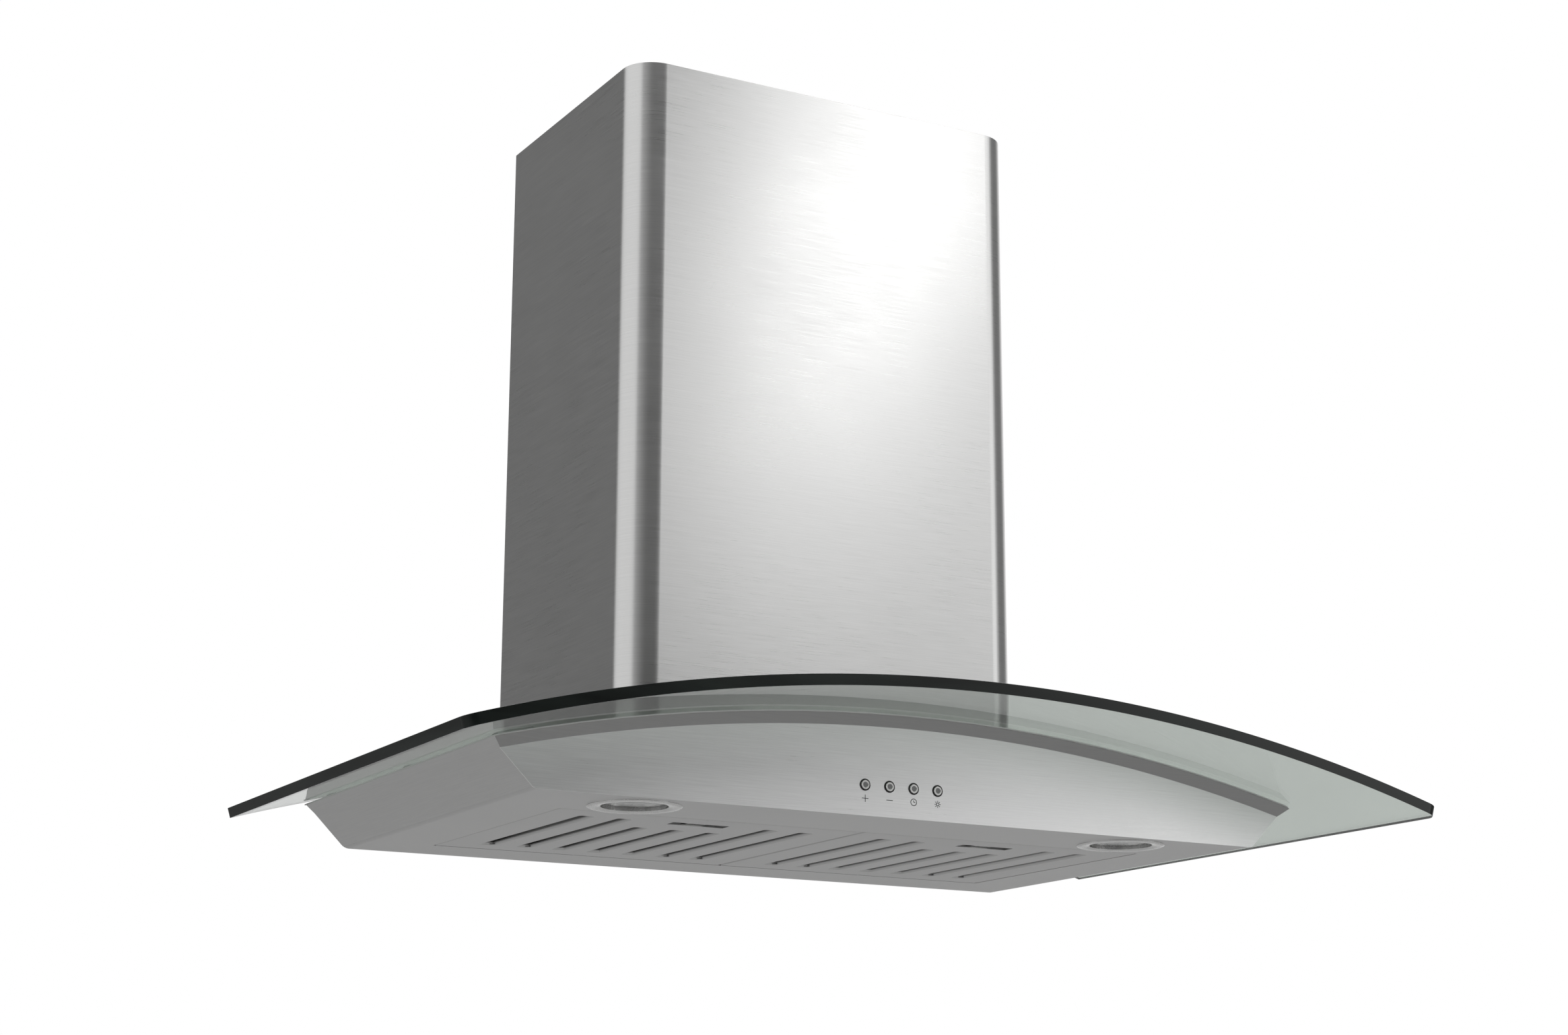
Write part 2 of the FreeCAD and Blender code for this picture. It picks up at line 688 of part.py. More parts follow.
def lamp_bulb():
    """A small reflector bulb that hangs from the can's roof by its neck."""
    roof = LAMP_BODY_H - SHEET
    low = LENS_RECESS + LENS_T + RUN_GAP
    neck_low = low + BULB_DEPTH
    dish = Part.makeCone(BULB_R, BULB_R / 2, BULB_DEPTH, V(0, LAMP_Y, low), ALONG_Z)
    neck = rod(BULB_R / 2, V(0, LAMP_Y, neck_low), V(0, LAMP_Y, roof))
    return join([dish, neck])


# ---- push buttons ----
def button_cap(x):
    """A round cap with a dished face and a flange that keeps it in its guide."""
    front = -BODY_D - CAP_PROUD
    flange_front = PANEL_BACK + HOLDER_FACE_T + RUN_GAP
    flange_back = flange_front + CAP_FLANGE_T
    stem = rod(CAP_R, V(x, front, BUTTON_Z), V(x, flange_back, BUTTON_Z))
    flange = rod(CAP_FLANGE_R, V(x, flange_front, BUTTON_Z), V(x, flange_back, BUTTON_Z))
    dish = rod(CAP_DISH_R, V(x, front - OVERCUT, BUTTON_Z), V(x, front + CAP_DISH_DEPTH, BUTTON_Z))
    return join([stem, flange]).cut(dish)


def button_bezels():
    """The rings round the buttons."""
    rings = []
    for x in button_places():
        face = tube(BEZEL_R, GUIDE_R, V(x, -BODY_D - BEZEL_T, BUTTON_Z), V(x, -BODY_D, BUTTON_Z))
        neck = tube(BEZEL_NECK_R, GUIDE_R, V(x, -BODY_D, BUTTON_Z), V(x, PANEL_BACK, BUTTON_Z))
        rings.append(join([face, neck]))
    return group(rings)


def holder_span():
    """The low and high x of the button holder."""
    places = button_places()
    return places[0] - HOLDER_MARGIN, places[-1] + HOLDER_MARGIN


def holder_height():
    """The low and high z of the button holder."""
    return BUTTON_Z - HOLDER_H / 2, BUTTON_Z + HOLDER_H / 2


def button_holder():
    """The moulding behind the panel that guides the caps and carries the board."""
    x, z = holder_span(), holder_height()
    face = box(x, (PANEL_BACK, HOLDER_BACK), z)
    left = box((x[0], x[0] + HOLDER_POST), (HOLDER_BACK, BOARD_FRONT), z)
    right = box((x[1] - HOLDER_POST, x[1]), (HOLDER_BACK, BOARD_FRONT), z)
    holder = join([face, left, right])
    pocket_r = CAP_FLANGE_R + RUN_GAP
    for px in button_places():
        holder = holder.cut(rod(GUIDE_R, V(px, PANEL_BACK - OVERCUT, BUTTON_Z), V(px, HOLDER_BACK, BUTTON_Z)))
        pocket_start = V(px, PANEL_BACK + HOLDER_FACE_T, BUTTON_Z)
        holder = holder.cut(rod(pocket_r, pocket_start, V(px, HOLDER_BACK + OVERCUT, BUTTON_Z)))
    return holder


def switch_board():
    """The small printed board behind the buttons."""
    return box(holder_span(), (BOARD_FRONT, BOARD_FRONT + BOARD_T), holder_height())


def push_switches():
    """One small switch behind each cap."""
    half = SWITCH_W / 2
    high = (BUTTON_Z - half, BUTTON_Z + half)
    return group([box((x - half, x + half), (SWITCH_FRONT, BOARD_FRONT), high) for x in button_places()])


def bar(x, z, length, angle):
    """A printed stroke on the panel, centred at x and z and turned by angle."""
    half_l, half_w = length / 2, SYMBOL_LINE / 2
    stroke = box((-half_l, half_l), (-BODY_D - SYMBOL_T, -BODY_D), (-half_w, half_w))
    stroke.rotate(V(0, -BODY_D, 0), ALONG_Y, angle)
    stroke.translate(V(x, 0, z))
    return stroke


def ring_mark(x, z, radius):
    """A printed circle on the panel."""
    start, end = V(x, -BODY_D - SYMBOL_T, z), V(x, -BODY_D, z)
    return tube(radius, radius - SYMBOL_LINE, start, end)


def button_symbols():
    """Plain marks under the buttons: plus, minus, a clock and a light."""
    plus_x, minus_x, clock_x, light_x = button_places()
    z = SYMBOL_Z
    plus = join([bar(plus_x, z, 2 * SYMBOL_R, 0), bar(plus_x, z, 2 * SYMBOL_R, 90)])
    minus = bar(minus_x, z, 2 * SYMBOL_R, 0)
    clock = ring_mark(clock_x, z, SYMBOL_R)
    hand = SYMBOL_R / 2
    hands = join([bar(clock_x, z + hand / 2, hand, 90), bar(clock_x + hand / 2, z, hand, 0)])
    light = ring_mark(light_x, z, SYMBOL_R / 2)
    rays = []
    for i in range(RAY_COUNT):
        turn = 2 * math.pi * i / RAY_COUNT
        ray_x, ray_z = light_x + RAY_AT * math.cos(turn), z - RAY_AT * math.sin(turn)
        rays.append(bar(ray_x, ray_z, RAY_L, math.degrees(turn)))
    return group([plus, minus, clock, hands, light] + rays)


# ---- blower ----
def motor_box():
    """The sheet box that hangs the blower over the body's throat."""
    outer = box((-BOX_HALF, BOX_HALF), BOX_Y, (0, BOX_TOP))
    inner_y = (BOX_Y[0] + SHEET, BOX_Y[1] - SHEET)
    inner_x = (SHEET - BOX_HALF, BOX_HALF - SHEET)
    shell = outer.cut(box(inner_x, inner_y, (-OVERCUT, BOX_TOP - SHEET)))
    shell = shell.cut(under_arch(PLATE_DROP))
    flange = arched_slab(BOX_Y, (PLATE_DROP - SHEET, PLATE_DROP))
    wide = BOX_HALF + FLANGE_W
    flange = flange.common(box((-wide, wide), BOX_Y, (0, BOX_TOP)))
    flange = flange.cut(box((-BOX_HALF + SHEET / 2, BOX_HALF - SHEET / 2), BOX_Y, (0, BOX_TOP)))
    shell = join([shell, flange])
    axis_y = SCROLL_AXIS[0]
    outlet_y = (axis_y + SHEET, scroll_back() - SHEET)
    outlet_x = (SHEET - SCROLL_HALF, SCROLL_HALF - SHEET)
    shell = shell.cut(box(outlet_x, outlet_y, (BOX_TOP - OVERCUT, BOX_TOP + OVERCUT)))
    for hole in flange_screws(shank) + collar_screws(shank):
        shell = shell.cut(hole)
    return shell


def scroll_back():
    """The y of the scroll's rear wall."""
    return SCROLL_AXIS[0] + SCROLL_R + QUARTERS * SCROLL_STEP


def volute(inset, x, top):
    """The scroll's outline, three growing quarter arcs and an upright outlet."""
    cy, cz = SCROLL_AXIS
    s = SCROLL_STEP
    r = SCROLL_R - inset
    diag = math.sqrt(0.5)
    arcs = []
    centre, radius = (cy, cz), r
    corner = V(x, cy, cz + r)
    start = corner
    for i, (sy, sz) in enumerate(((-1, 1), (-1, -1), (1, -1))):
        end_y = centre[0] + (sy * radius if i == 0 else 0 if i == 1 else radius)
        end_z = centre[1] + (0 if i != 1 else -radius)
        middle = V(x, centre[0] + sy * radius * diag, centre[1] + sz * radius * diag)
        end = V(x, end_y, end_z)
        arcs.append(Part.Arc(start, middle, end).toShape())
        start = end
        centre = (centre[0] + (s if i == 0 else 0), centre[1] + (s if i == 1 else 0))
        radius += s
    up = [start, V(x, start.y, top), V(x, cy + inset, top), V(x, cy + inset, corner.z), corner]
    if inset == 0:
        up.pop(3)
    lines = [Part.makeLine(up[i], up[i + 1]) for i in range(len(up) - 1)]
    return Part.Face(Part.Wire(arcs + lines))


def scroll_housing():
    """The snail-shaped housing, with a round inlet in each side."""
    top = BOX_TOP - SHEET
    outer = volute(0, -SCROLL_HALF, top).extrude(V(2 * SCROLL_HALF, 0, 0))
    inner_half = SCROLL_HALF - SHEET
    inner = volute(SHEET, -inner_half, top + OVERCUT).extrude(V(2 * inner_half, 0, 0))
    shell = outer.cut(inner)
    cy, cz = SCROLL_AXIS
    reach = SCROLL_HALF + OVERCUT
    shell = shell.cut(rod(INLET_R, V(-reach, cy, cz), V(reach, cy, cz)))
    for hole in spider_screws(shank):
        shell = shell.cut(hole)
    return shell


def spider_places():
    """Directions, in degrees, of the motor bracket's arms."""
    return [SPIDER_FIRST + i * 360 / SPIDER_ARMS for i in range(SPIDER_ARMS)]


def spider_screws(make):
    """Screws or shanks that hold the motor bracket to the scroll's side."""
    cy, cz = SCROLL_AXIS
    x = -SCROLL_HALF - SPIDER_T
    screws = []
    for angle in spider_places():
        turn = math.radians(angle)
        at = V(x, cy + SPIDER_SCREW_R * math.cos(turn), cz + SPIDER_SCREW_R * math.sin(turn))
        screws.append(make(at, ALONG_X))
    return screws


def motor_bracket():
    """A ring round the motor with three arms to the scroll's side."""
    cy, cz = SCROLL_AXIS
    x = (-SCROLL_HALF - SPIDER_T, -SCROLL_HALF)
    ring = rod(SPIDER_RING_R, V(x[0], cy, cz), V(x[1], cy, cz))
    arms = []
    for angle in spider_places():
        arm = box(x, (0, SPIDER_REACH), (-SPIDER_ARM_W / 2, SPIDER_ARM_W / 2))
        arm.rotate(V(0, 0, 0), ALONG_X, angle)
        arm.translate(V(0, cy, cz))
        arms.append(arm)
    bracket = join([ring] + arms)
    bracket = bracket.cut(rod(MOTOR_R, V(x[0] - OVERCUT, cy, cz), V(x[1] + OVERCUT, cy, cz)))
    for hole in spider_screws(shank):
        bracket = bracket.cut(hole)
    return bracket


def motor():
    """The motor can with a stepped nose and the shaft's bore."""
    cy, cz = SCROLL_AXIS
    can = rod(MOTOR_R, V(MOTOR_X[0], cy, cz), V(MOTOR_X[1] - MOTOR_NECK_L, cy, cz))
    nose = rod(MOTOR_NECK_R, V(MOTOR_X[0] - MOTOR_NECK_L, cy, cz), V(MOTOR_X[1], cy, cz))
    bore = rod(SHAFT_R + PIN_GAP, V(SHAFT_X[0] - OVERCUT, cy, cz), V(SHAFT_X[1], cy, cz))
    return join([can, nose]).cut(bore)


def motor_shaft():
    """The shaft from the motor to the wheel's hub."""
    cy, cz = SCROLL_AXIS
    return rod(SHAFT_R, V(SHAFT_X[0], cy, cz), V(SHAFT_X[1], cy, cz))


def impeller():
    """A double cage of tilted blades on a middle disc."""
    cy, cz = SCROLL_AXIS
    disc = rod(WHEEL_R, V(-SHEET, 0, 0), V(SHEET, 0, 0))
    hub = rod(HUB_R, V(HUB_X[0], 0, 0), V(HUB_X[1], 0, 0))
    inner_r = WHEEL_R - BLADE_DEPTH * math.cos(math.radians(BLADE_TILT))
    parts = [disc, hub]
    for end in (-WHEEL_HALF, WHEEL_HALF - WHEEL_RING_T):
        parts.append(tube(WHEEL_R, inner_r, V(end, 0, 0), V(end + WHEEL_RING_T, 0, 0)))
    for i in range(BLADE_COUNT):
        blade = box((-WHEEL_HALF, WHEEL_HALF), (0, BLADE_DEPTH), (-BLADE_T / 2, BLADE_T / 2))
        blade.rotate(V(0, 0, 0), ALONG_X, BLADE_TILT)
        blade.translate(V(0, inner_r - BLADE_T, -BLADE_DEPTH * math.sin(math.radians(BLADE_TILT)) / 2))
        blade.rotate(V(0, 0, 0), ALONG_X, 360.0 * i / BLADE_COUNT)
        parts.append(blade)
    wheel = join(parts)
    wheel = wheel.cut(rod(SHAFT_R, V(-WHEEL_HALF, 0, 0), V(WHEEL_HALF, 0, 0)))
    wheel.translate(V(0, cy, cz))
    return wheel


# ---- duct collar and damper ----
def collar_screws(make):
    """Screws or shanks at the collar plate's corners."""
    top = COLLAR_BASE + COLLAR_PLATE_T
    spots = [(x, y) for x in (-COLLAR_SCREW, COLLAR_SCREW) for y in (-COLLAR_SCREW, COLLAR_SCREW)]
    return [make(V(x, COLLAR_Y + y, top), -ALONG_Z) for x, y in spots]


def duct_collar():
    """The round outlet on a square plate, with a ledge for the damper flaps."""
    half = COLLAR_PLATE / 2
    top = COLLAR_BASE + COLLAR_PLATE_T
    plate = box((-half, half), (COLLAR_Y - half, COLLAR_Y + half), (COLLAR_BASE, top))
    bore_r = COLLAR_R - COLLAR_WALL
    base, end = V(0, COLLAR_Y, COLLAR_BASE), V(0, COLLAR_Y, COLLAR_BASE + COLLAR_H)
    pipe = rod(COLLAR_R, base, end)
    below = V(0, COLLAR_Y, COLLAR_BASE - OVERCUT)
    above = V(0, COLLAR_Y, COLLAR_BASE + COLLAR_H + OVERCUT)
    collar = join([plate, pipe]).cut(rod(bore_r, below, above))
    ledge_top = DAMPER_Z - KNUCKLE_R - RUN_GAP
    ledge_low = V(0, COLLAR_Y, ledge_top - STOP_RING_T)
    ledge = tube(bore_r, bore_r - STOP_RING_W, ledge_low, V(0, COLLAR_Y, ledge_top))
    collar = join([collar, ledge])
    collar = collar.cut(damper_pin())
    for hole in collar_screws(shank):
        collar = collar.cut(hole)
    return collar


def damper_pin():
    """The pin across the collar that both flaps hang on."""
    reach = COLLAR_R - PIN_RECESS
    return rod(DAMPER_PIN_R, V(-reach, COLLAR_Y, DAMPER_Z), V(reach, COLLAR_Y, DAMPER_Z))


def flap(side, first):
    """Half a disc with two knuckles; side is -1 for the front half, 1 for the rear."""
    low = -KNUCKLE_R
    half_disc = rod(FLAP_R, V(0, 0, low), V(0, 0, low + FLAP_T))
    edge = side * (KNUCKLE_R + RUN_GAP)
    keep = sorted((edge, side * (FLAP_R + OVERCUT)))
    half_disc = half_disc.common(box((-FLAP_R, FLAP_R), keep, (low - OVERCUT, low + OVERCUT)))
    parts = [half_disc]
    reach = sorted((0, edge))
    for start in (first, first + KNUCKLE_SPAN):
        x = (start, start + KNUCKLE_L)
        parts.append(rod(KNUCKLE_R, V(x[0], 0, 0), V(x[1], 0, 0)))
        parts.append(box(x, reach, (low, low + FLAP_T)))
    plate = join(parts)
    bore = rod(DAMPER_PIN_R + PIN_GAP, V(-FLAP_R, 0, 0), V(FLAP_R, 0, 0))
    plate = plate.cut(bore)
    plate.translate(V(0, COLLAR_Y, DAMPER_Z))
    return plate


# ---- electrics beside the blower ----
def case_tray(x_wall):
    """An open case that stands out from the blower box's right side."""
    outer = box((x_wall, x_wall + CASE_D - CASE_LID_T), CASE_Y, CASE_Z)
    inner_x = (x_wall + CASE_WALL, x_wall + CASE_D)
    inner_y = (CASE_Y[0] + CASE_WALL, CASE_Y[1] - CASE_WALL)
    inner_z = (CASE_Z[0] + CASE_WALL, CASE_Z[1] - CASE_WALL)
    return outer.cut(box(inner_x, inner_y, inner_z))


def case_lid(x_wall):
    """The flat lid of a case."""
    return box((x_wall + CASE_D - CASE_LID_T, x_wall + CASE_D), CASE_Y, CASE_Z)


def control_board(x_wall):
    """The circuit board on its four posts."""
    x = x_wall + CASE_WALL + CARD_OFF
    y = (CASE_Y[0] + CARD_EDGE, CASE_Y[1] - CARD_EDGE)
    z = (CASE_Z[0] + CARD_EDGE, CASE_Z[1] - CARD_EDGE)
    card = box((x, x + CARD_T), y, z)
    posts = []
    for py in (y[0] + CARD_OFF, y[1] - CARD_OFF):
        for pz in (z[0] + CARD_OFF, z[1] - CARD_OFF):
            posts.append(rod(CARD_POST_R, V(x_wall + CASE_WALL, py, pz), V(x, py, pz)))
    middle_y, middle_z = (y[0] + y[1]) / 2, (z[0] + z[1]) / 2
    relay_y = (middle_y - RELAY_L / 2, middle_y + RELAY_L / 2)
    relay_z = (middle_z - RELAY_W / 2, middle_z + RELAY_W / 2)
    relay = box((x + CARD_T, x + CARD_T + RELAY_H), relay_y, relay_z)
    return join([card, relay] + posts)


def terminal_tray(x_wall):
    """The case for the supply, with the gland's hole in its top wall."""
    at = gland_place(x_wall)
    return case_tray(x_wall).cut(rod(GLAND_R - CASE_WALL, at - ALONG_Z * OVERCUT, at + ALONG_Z * OVERCUT))


def gland_place(x_wall):
    """The middle of the case's top wall, where the supply cable enters."""
    return V(x_wall + (CASE_D - CASE_LID_T) / 2, (CASE_Y[0] + CASE_Y[1]) / 2, CASE_Z[1])


def cable_gland(x_wall):
    """The gland for the house wiring."""
    at = gland_place(x_wall)
    top = at + ALONG_Z * GLAND_L
    nut_top = at + ALONG_Z * (GLAND_L / 2)
    neck_low = at - ALONG_Z * CASE_WALL
    body = join([rod(GLAND_R, at, nut_top), rod(GLAND_R - CASE_WALL, neck_low, top)])
    return body.cut(rod(GLAND_BORE_R, at - ALONG_Z * GLAND_L, top + ALONG_Z * OVERCUT))


def capacitor(x_wall):
    """The motor's capacitor, clipped flat under the terminal case."""
    x = x_wall + CAPACITOR_R
    y = (CASE_Y[0] + CASE_Y[1]) / 2
    start, end = V(x, y - CAPACITOR_L / 2, CAPACITOR_Z), V(x, y + CAPACITOR_L / 2, CAPACITOR_Z)
    can = rod(CAPACITOR_R, start, end)
    clip_y = (y - CLIP_W / 2, y + CLIP_W / 2)
    clip_z = (CAPACITOR_Z - CLIP_W / 2, CAPACITOR_Z + CLIP_W / 2)
    return join([can, box((x_wall, x), clip_y, clip_z)])


# ---- chimney ----
def channel(half, front, radius, z):
    """A three-sided sheet cover with rounded front corners and rear returns."""
    outer = round_front(half, (front, 0), radius, z)
    tall = (z[0] - OVERCUT, z[1] + OVERCUT)
    inner = round_front(half - SHEET, (front + SHEET, OVERCUT), radius - SHEET, tall)
    cover = outer.cut(inner)
    lip = box((half - SHEET - RETURN_W, half - SHEET / 2), (-SHEET, 0), z)
    return join([cover, lip, mirror_x(lip)])


def chimney_cover():
    """The lower chimney cover, cut along the glass's curve."""
    cover = channel(CHIMNEY_HALF, -CHIMNEY_D, CHIMNEY_CORNER, (0, CHIMNEY_TOP))
    return cover.cut(under_arch(-GLASS_T - RUN_GAP))


def chimney_extension():
    """The upper cover, pushed down inside the lower one."""
    step = SHEET + NEST_GAP
    sleeve = channel(CHIMNEY_HALF - step, step - CHIMNEY_D, CHIMNEY_CORNER - step, EXTENSION_Z)
    sleeve = sleeve.cut(box((-CHIMNEY_HALF, CHIMNEY_HALF), (-step, OVERCUT), (0, CHIMNEY_TOP)))
    outer = CHIMNEY_HALF - step
    lip = box((outer - RETURN_W, outer), (-step - SHEET, -step), EXTENSION_Z)
    return join([sleeve, lip, mirror_x(lip)])


def chimney_bracket():
    """The wall bracket between the covers' returns, with an ear at each end."""
    back = -2 * SHEET - NEST_GAP - RUN_GAP
    half = CHIMNEY_HALF - 2 * SHEET - NEST_GAP - RUN_GAP
    strip = box((-half, half), (back - BRACKET_T, back), BRACKET_Z)
    pad_half = CHIMNEY_HALF - 2 * SHEET - RETURN_W * 2
    pad = box((-pad_half, pad_half), (back, 0), BRACKET_Z)
    ear = box((half - BRACKET_T, half), (back - EAR_D, back), BRACKET_Z)
    middle = (BRACKET_Z[0] + BRACKET_Z[1]) / 2
    bracket = join([strip, pad, ear, mirror_x(ear)])
    for x in (-BRACKET_HOLE_X, BRACKET_HOLE_X):
        bracket = bracket.cut(rod(BRACKET_HOLE_R, V(x, -EAR_D, middle), V(x, OVERCUT, middle)))
    ear_y = back - EAR_D / 2
    return bracket.cut(rod(EAR_HOLE_R, V(-CHIMNEY_HALF, ear_y, middle), V(CHIMNEY_HALF, ear_y, middle)))


def moved(shape, x):
    """A copy of a shape built at x = 0, shifted to x."""
    copy = shape.copy()
    copy.translate(V(x, 0, 0))
    return copy


def save_body():
    save("hood_shell", hood_shell())
    save("front_panel", front_panel())
    save("back_plate", back_plate())
    save("top_plate", top_plate())
    save("glass_canopy", glass_canopy())
    save("glass_pads", glass_pads())
    save("glass_bolts", glass_bolts())


def save_pairs():
    pairs = {
        "filter_{}_tray": (filter_tray(), FILTER_X),
        "filter_{}_baffles": (filter_baffles(), FILTER_X),
        "filter_{}_latch": (filter_latch(), FILTER_X),
        "filter_{}_latch_spring": (latch_spring(), FILTER_X),
        "lamp_{}_trim": (lamp_trim(), LAMP_X),
        "lamp_{}_lens": (lamp_lens(), LAMP_X),
        "lamp_{}_housing": (lamp_housing(), LAMP_X),
        "lamp_{}_bulb": (lamp_bulb(), LAMP_X),
    }
    for name, (shape, x) in pairs.items():
        save(name.format("left"), moved(shape, -x))
        save(name.format("right"), moved(shape, x))


def save_buttons():
    for name, x in zip(BUTTON_NAMES, button_places()):
        save("button_" + name, button_cap(x))
    save("button_bezels", button_bezels())
    save("button_holder", button_holder())
    save("button_symbols", button_symbols())
    save("switch_board", switch_board())
    save("push_switches", push_switches())


def save_blower():
    save("motor_box", motor_box())
    save("box_screws", group(flange_screws(screw)))
    save("scroll_housing", scroll_housing())
    save("motor_bracket", motor_bracket())
    save("bracket_screws", group(spider_screws(screw)))
    save("motor", motor())
    save("motor_shaft", motor_shaft())
    save("impeller", impeller())
    save("duct_collar", duct_collar())
    save("collar_screws", group(collar_screws(screw)))
    save("damper_pin", damper_pin())
    save("damper_flap_front", flap(-1, -KNUCKLE_SPAN))
    save("damper_flap_rear", flap(1, -KNUCKLE_SPAN / 2))


def save_electrics():
    save("control_case", case_tray(BOX_HALF))
    save("control_case_lid", case_lid(BOX_HALF))
    save("control_board", control_board(BOX_HALF))
    save("terminal_case", mirror_x(terminal_tray(BOX_HALF)))
    save("terminal_case_lid", mirror_x(case_lid(BOX_HALF)))
    save("cable_gland", mirror_x(cable_gland(BOX_HALF)))
    save("capacitor", mirror_x(capacitor(BOX_HALF)))


def save_chimney():
    save("chimney_cover", chimney_cover())
    save("chimney_extension", chimney_extension())
    save("chimney_bracket", chimney_bracket())


os.makedirs("parts", exist_ok=True)
save_body()
save_pairs()
save_buttons()
save_blower()
save_electrics()
save_chimney()
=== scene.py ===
import json
import math

import bmesh
import bpy
from bpy.props import FloatProperty, FloatVectorProperty, IntProperty, PointerProperty
from mathutils import Matrix, Vector

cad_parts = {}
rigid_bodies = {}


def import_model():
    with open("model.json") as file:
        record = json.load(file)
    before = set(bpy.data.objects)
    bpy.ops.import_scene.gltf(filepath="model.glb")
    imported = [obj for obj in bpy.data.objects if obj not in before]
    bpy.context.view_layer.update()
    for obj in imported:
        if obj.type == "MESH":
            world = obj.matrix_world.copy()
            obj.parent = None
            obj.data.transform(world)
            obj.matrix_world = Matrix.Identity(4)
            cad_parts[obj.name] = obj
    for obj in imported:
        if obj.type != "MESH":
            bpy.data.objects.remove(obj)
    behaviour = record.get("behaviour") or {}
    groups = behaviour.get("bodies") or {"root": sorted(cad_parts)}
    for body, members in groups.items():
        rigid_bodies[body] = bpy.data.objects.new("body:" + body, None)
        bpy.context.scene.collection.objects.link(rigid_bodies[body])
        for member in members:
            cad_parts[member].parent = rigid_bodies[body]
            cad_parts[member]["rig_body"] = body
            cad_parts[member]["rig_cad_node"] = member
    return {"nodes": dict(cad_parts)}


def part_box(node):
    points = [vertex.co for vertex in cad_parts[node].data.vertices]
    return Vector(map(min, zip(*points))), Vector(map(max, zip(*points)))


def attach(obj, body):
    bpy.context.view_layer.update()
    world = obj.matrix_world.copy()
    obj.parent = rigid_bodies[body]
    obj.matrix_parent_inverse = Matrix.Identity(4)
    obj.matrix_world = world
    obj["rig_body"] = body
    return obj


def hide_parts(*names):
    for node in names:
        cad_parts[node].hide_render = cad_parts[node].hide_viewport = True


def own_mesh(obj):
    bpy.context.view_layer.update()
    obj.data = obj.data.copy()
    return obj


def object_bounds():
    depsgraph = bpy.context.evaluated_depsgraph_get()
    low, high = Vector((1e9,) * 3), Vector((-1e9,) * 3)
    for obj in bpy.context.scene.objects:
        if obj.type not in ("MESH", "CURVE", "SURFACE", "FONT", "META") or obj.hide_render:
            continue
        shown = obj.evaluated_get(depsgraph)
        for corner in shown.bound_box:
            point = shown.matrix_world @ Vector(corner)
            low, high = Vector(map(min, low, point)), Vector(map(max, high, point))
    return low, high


bl_info = {
    "name": "Curved glass range hood",
    "version": (1, 0, 0),
    "blender": (4, 5, 0),
    "location": "View3D > Sidebar > Range hood",
    "description": "Models the visible pieces of a wall range hood round its packed frame",
    "category": "Add Mesh",
}

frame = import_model()
NODES = frame["nodes"]
CAD_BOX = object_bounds()

GLASS_LOW, GLASS_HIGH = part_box("glass_canopy")
PANEL_LOW, PANEL_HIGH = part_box("front_panel")
SHELL_LOW, SHELL_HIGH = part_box("hood_shell")
COVER_LOW, COVER_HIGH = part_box("chimney_cover")
SLEEVE_LOW, SLEEVE_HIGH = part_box("chimney_extension")
RIM_Z = SHELL_LOW.z
SIDES = ("left", "right")
BUTTONS = ("speed_up", "speed_down", "timer", "light")

TINY = 0.0002       # reach of a place test, in metres
SLOT_COUNT = 7
SLOT_SIDE = 0.038          # from a filter's side to its outer slot's middle
SLOT_REAR = 0.027          # from the filter's rear to the slots
SLOT_FRONT = 0.030         # from its front to the outer slots
SLOT_LATCH = 0.070         # from its front to the middle three, behind the latch
SLOT_LIP = 0.003           # height of the turned-up slot edges
HOOK_X = 0.080             # from the filter's middle to a hook's middle
HOOK_HALF = 0.0125
HOOK_REACH = 0.006
WINDOW_HALF = 0.026        # the latch's finger opening
WINDOW_Y = (0.025, 0.038)  # its edges, from the filter's front
GATE_HALF = 0.0093         # the latch's way out through the front wall
GATE_Z = (0.001, 0.0028)
STOP_HALF = 0.0045         # the spring's stop
STOP_Y = (0.053, 0.055)
STOP_TOP = 0.0047
FLAT = 0.9           # a face square to an axis has more than this along it
LONG_EDGE = 0.02     # the body's side bends are longer than this
SIDE_BEND_X = 0.33   # and lie further out than this
NOTCH_CORNER = 0.012
SMOOTH_ANGLE = math.radians(28)


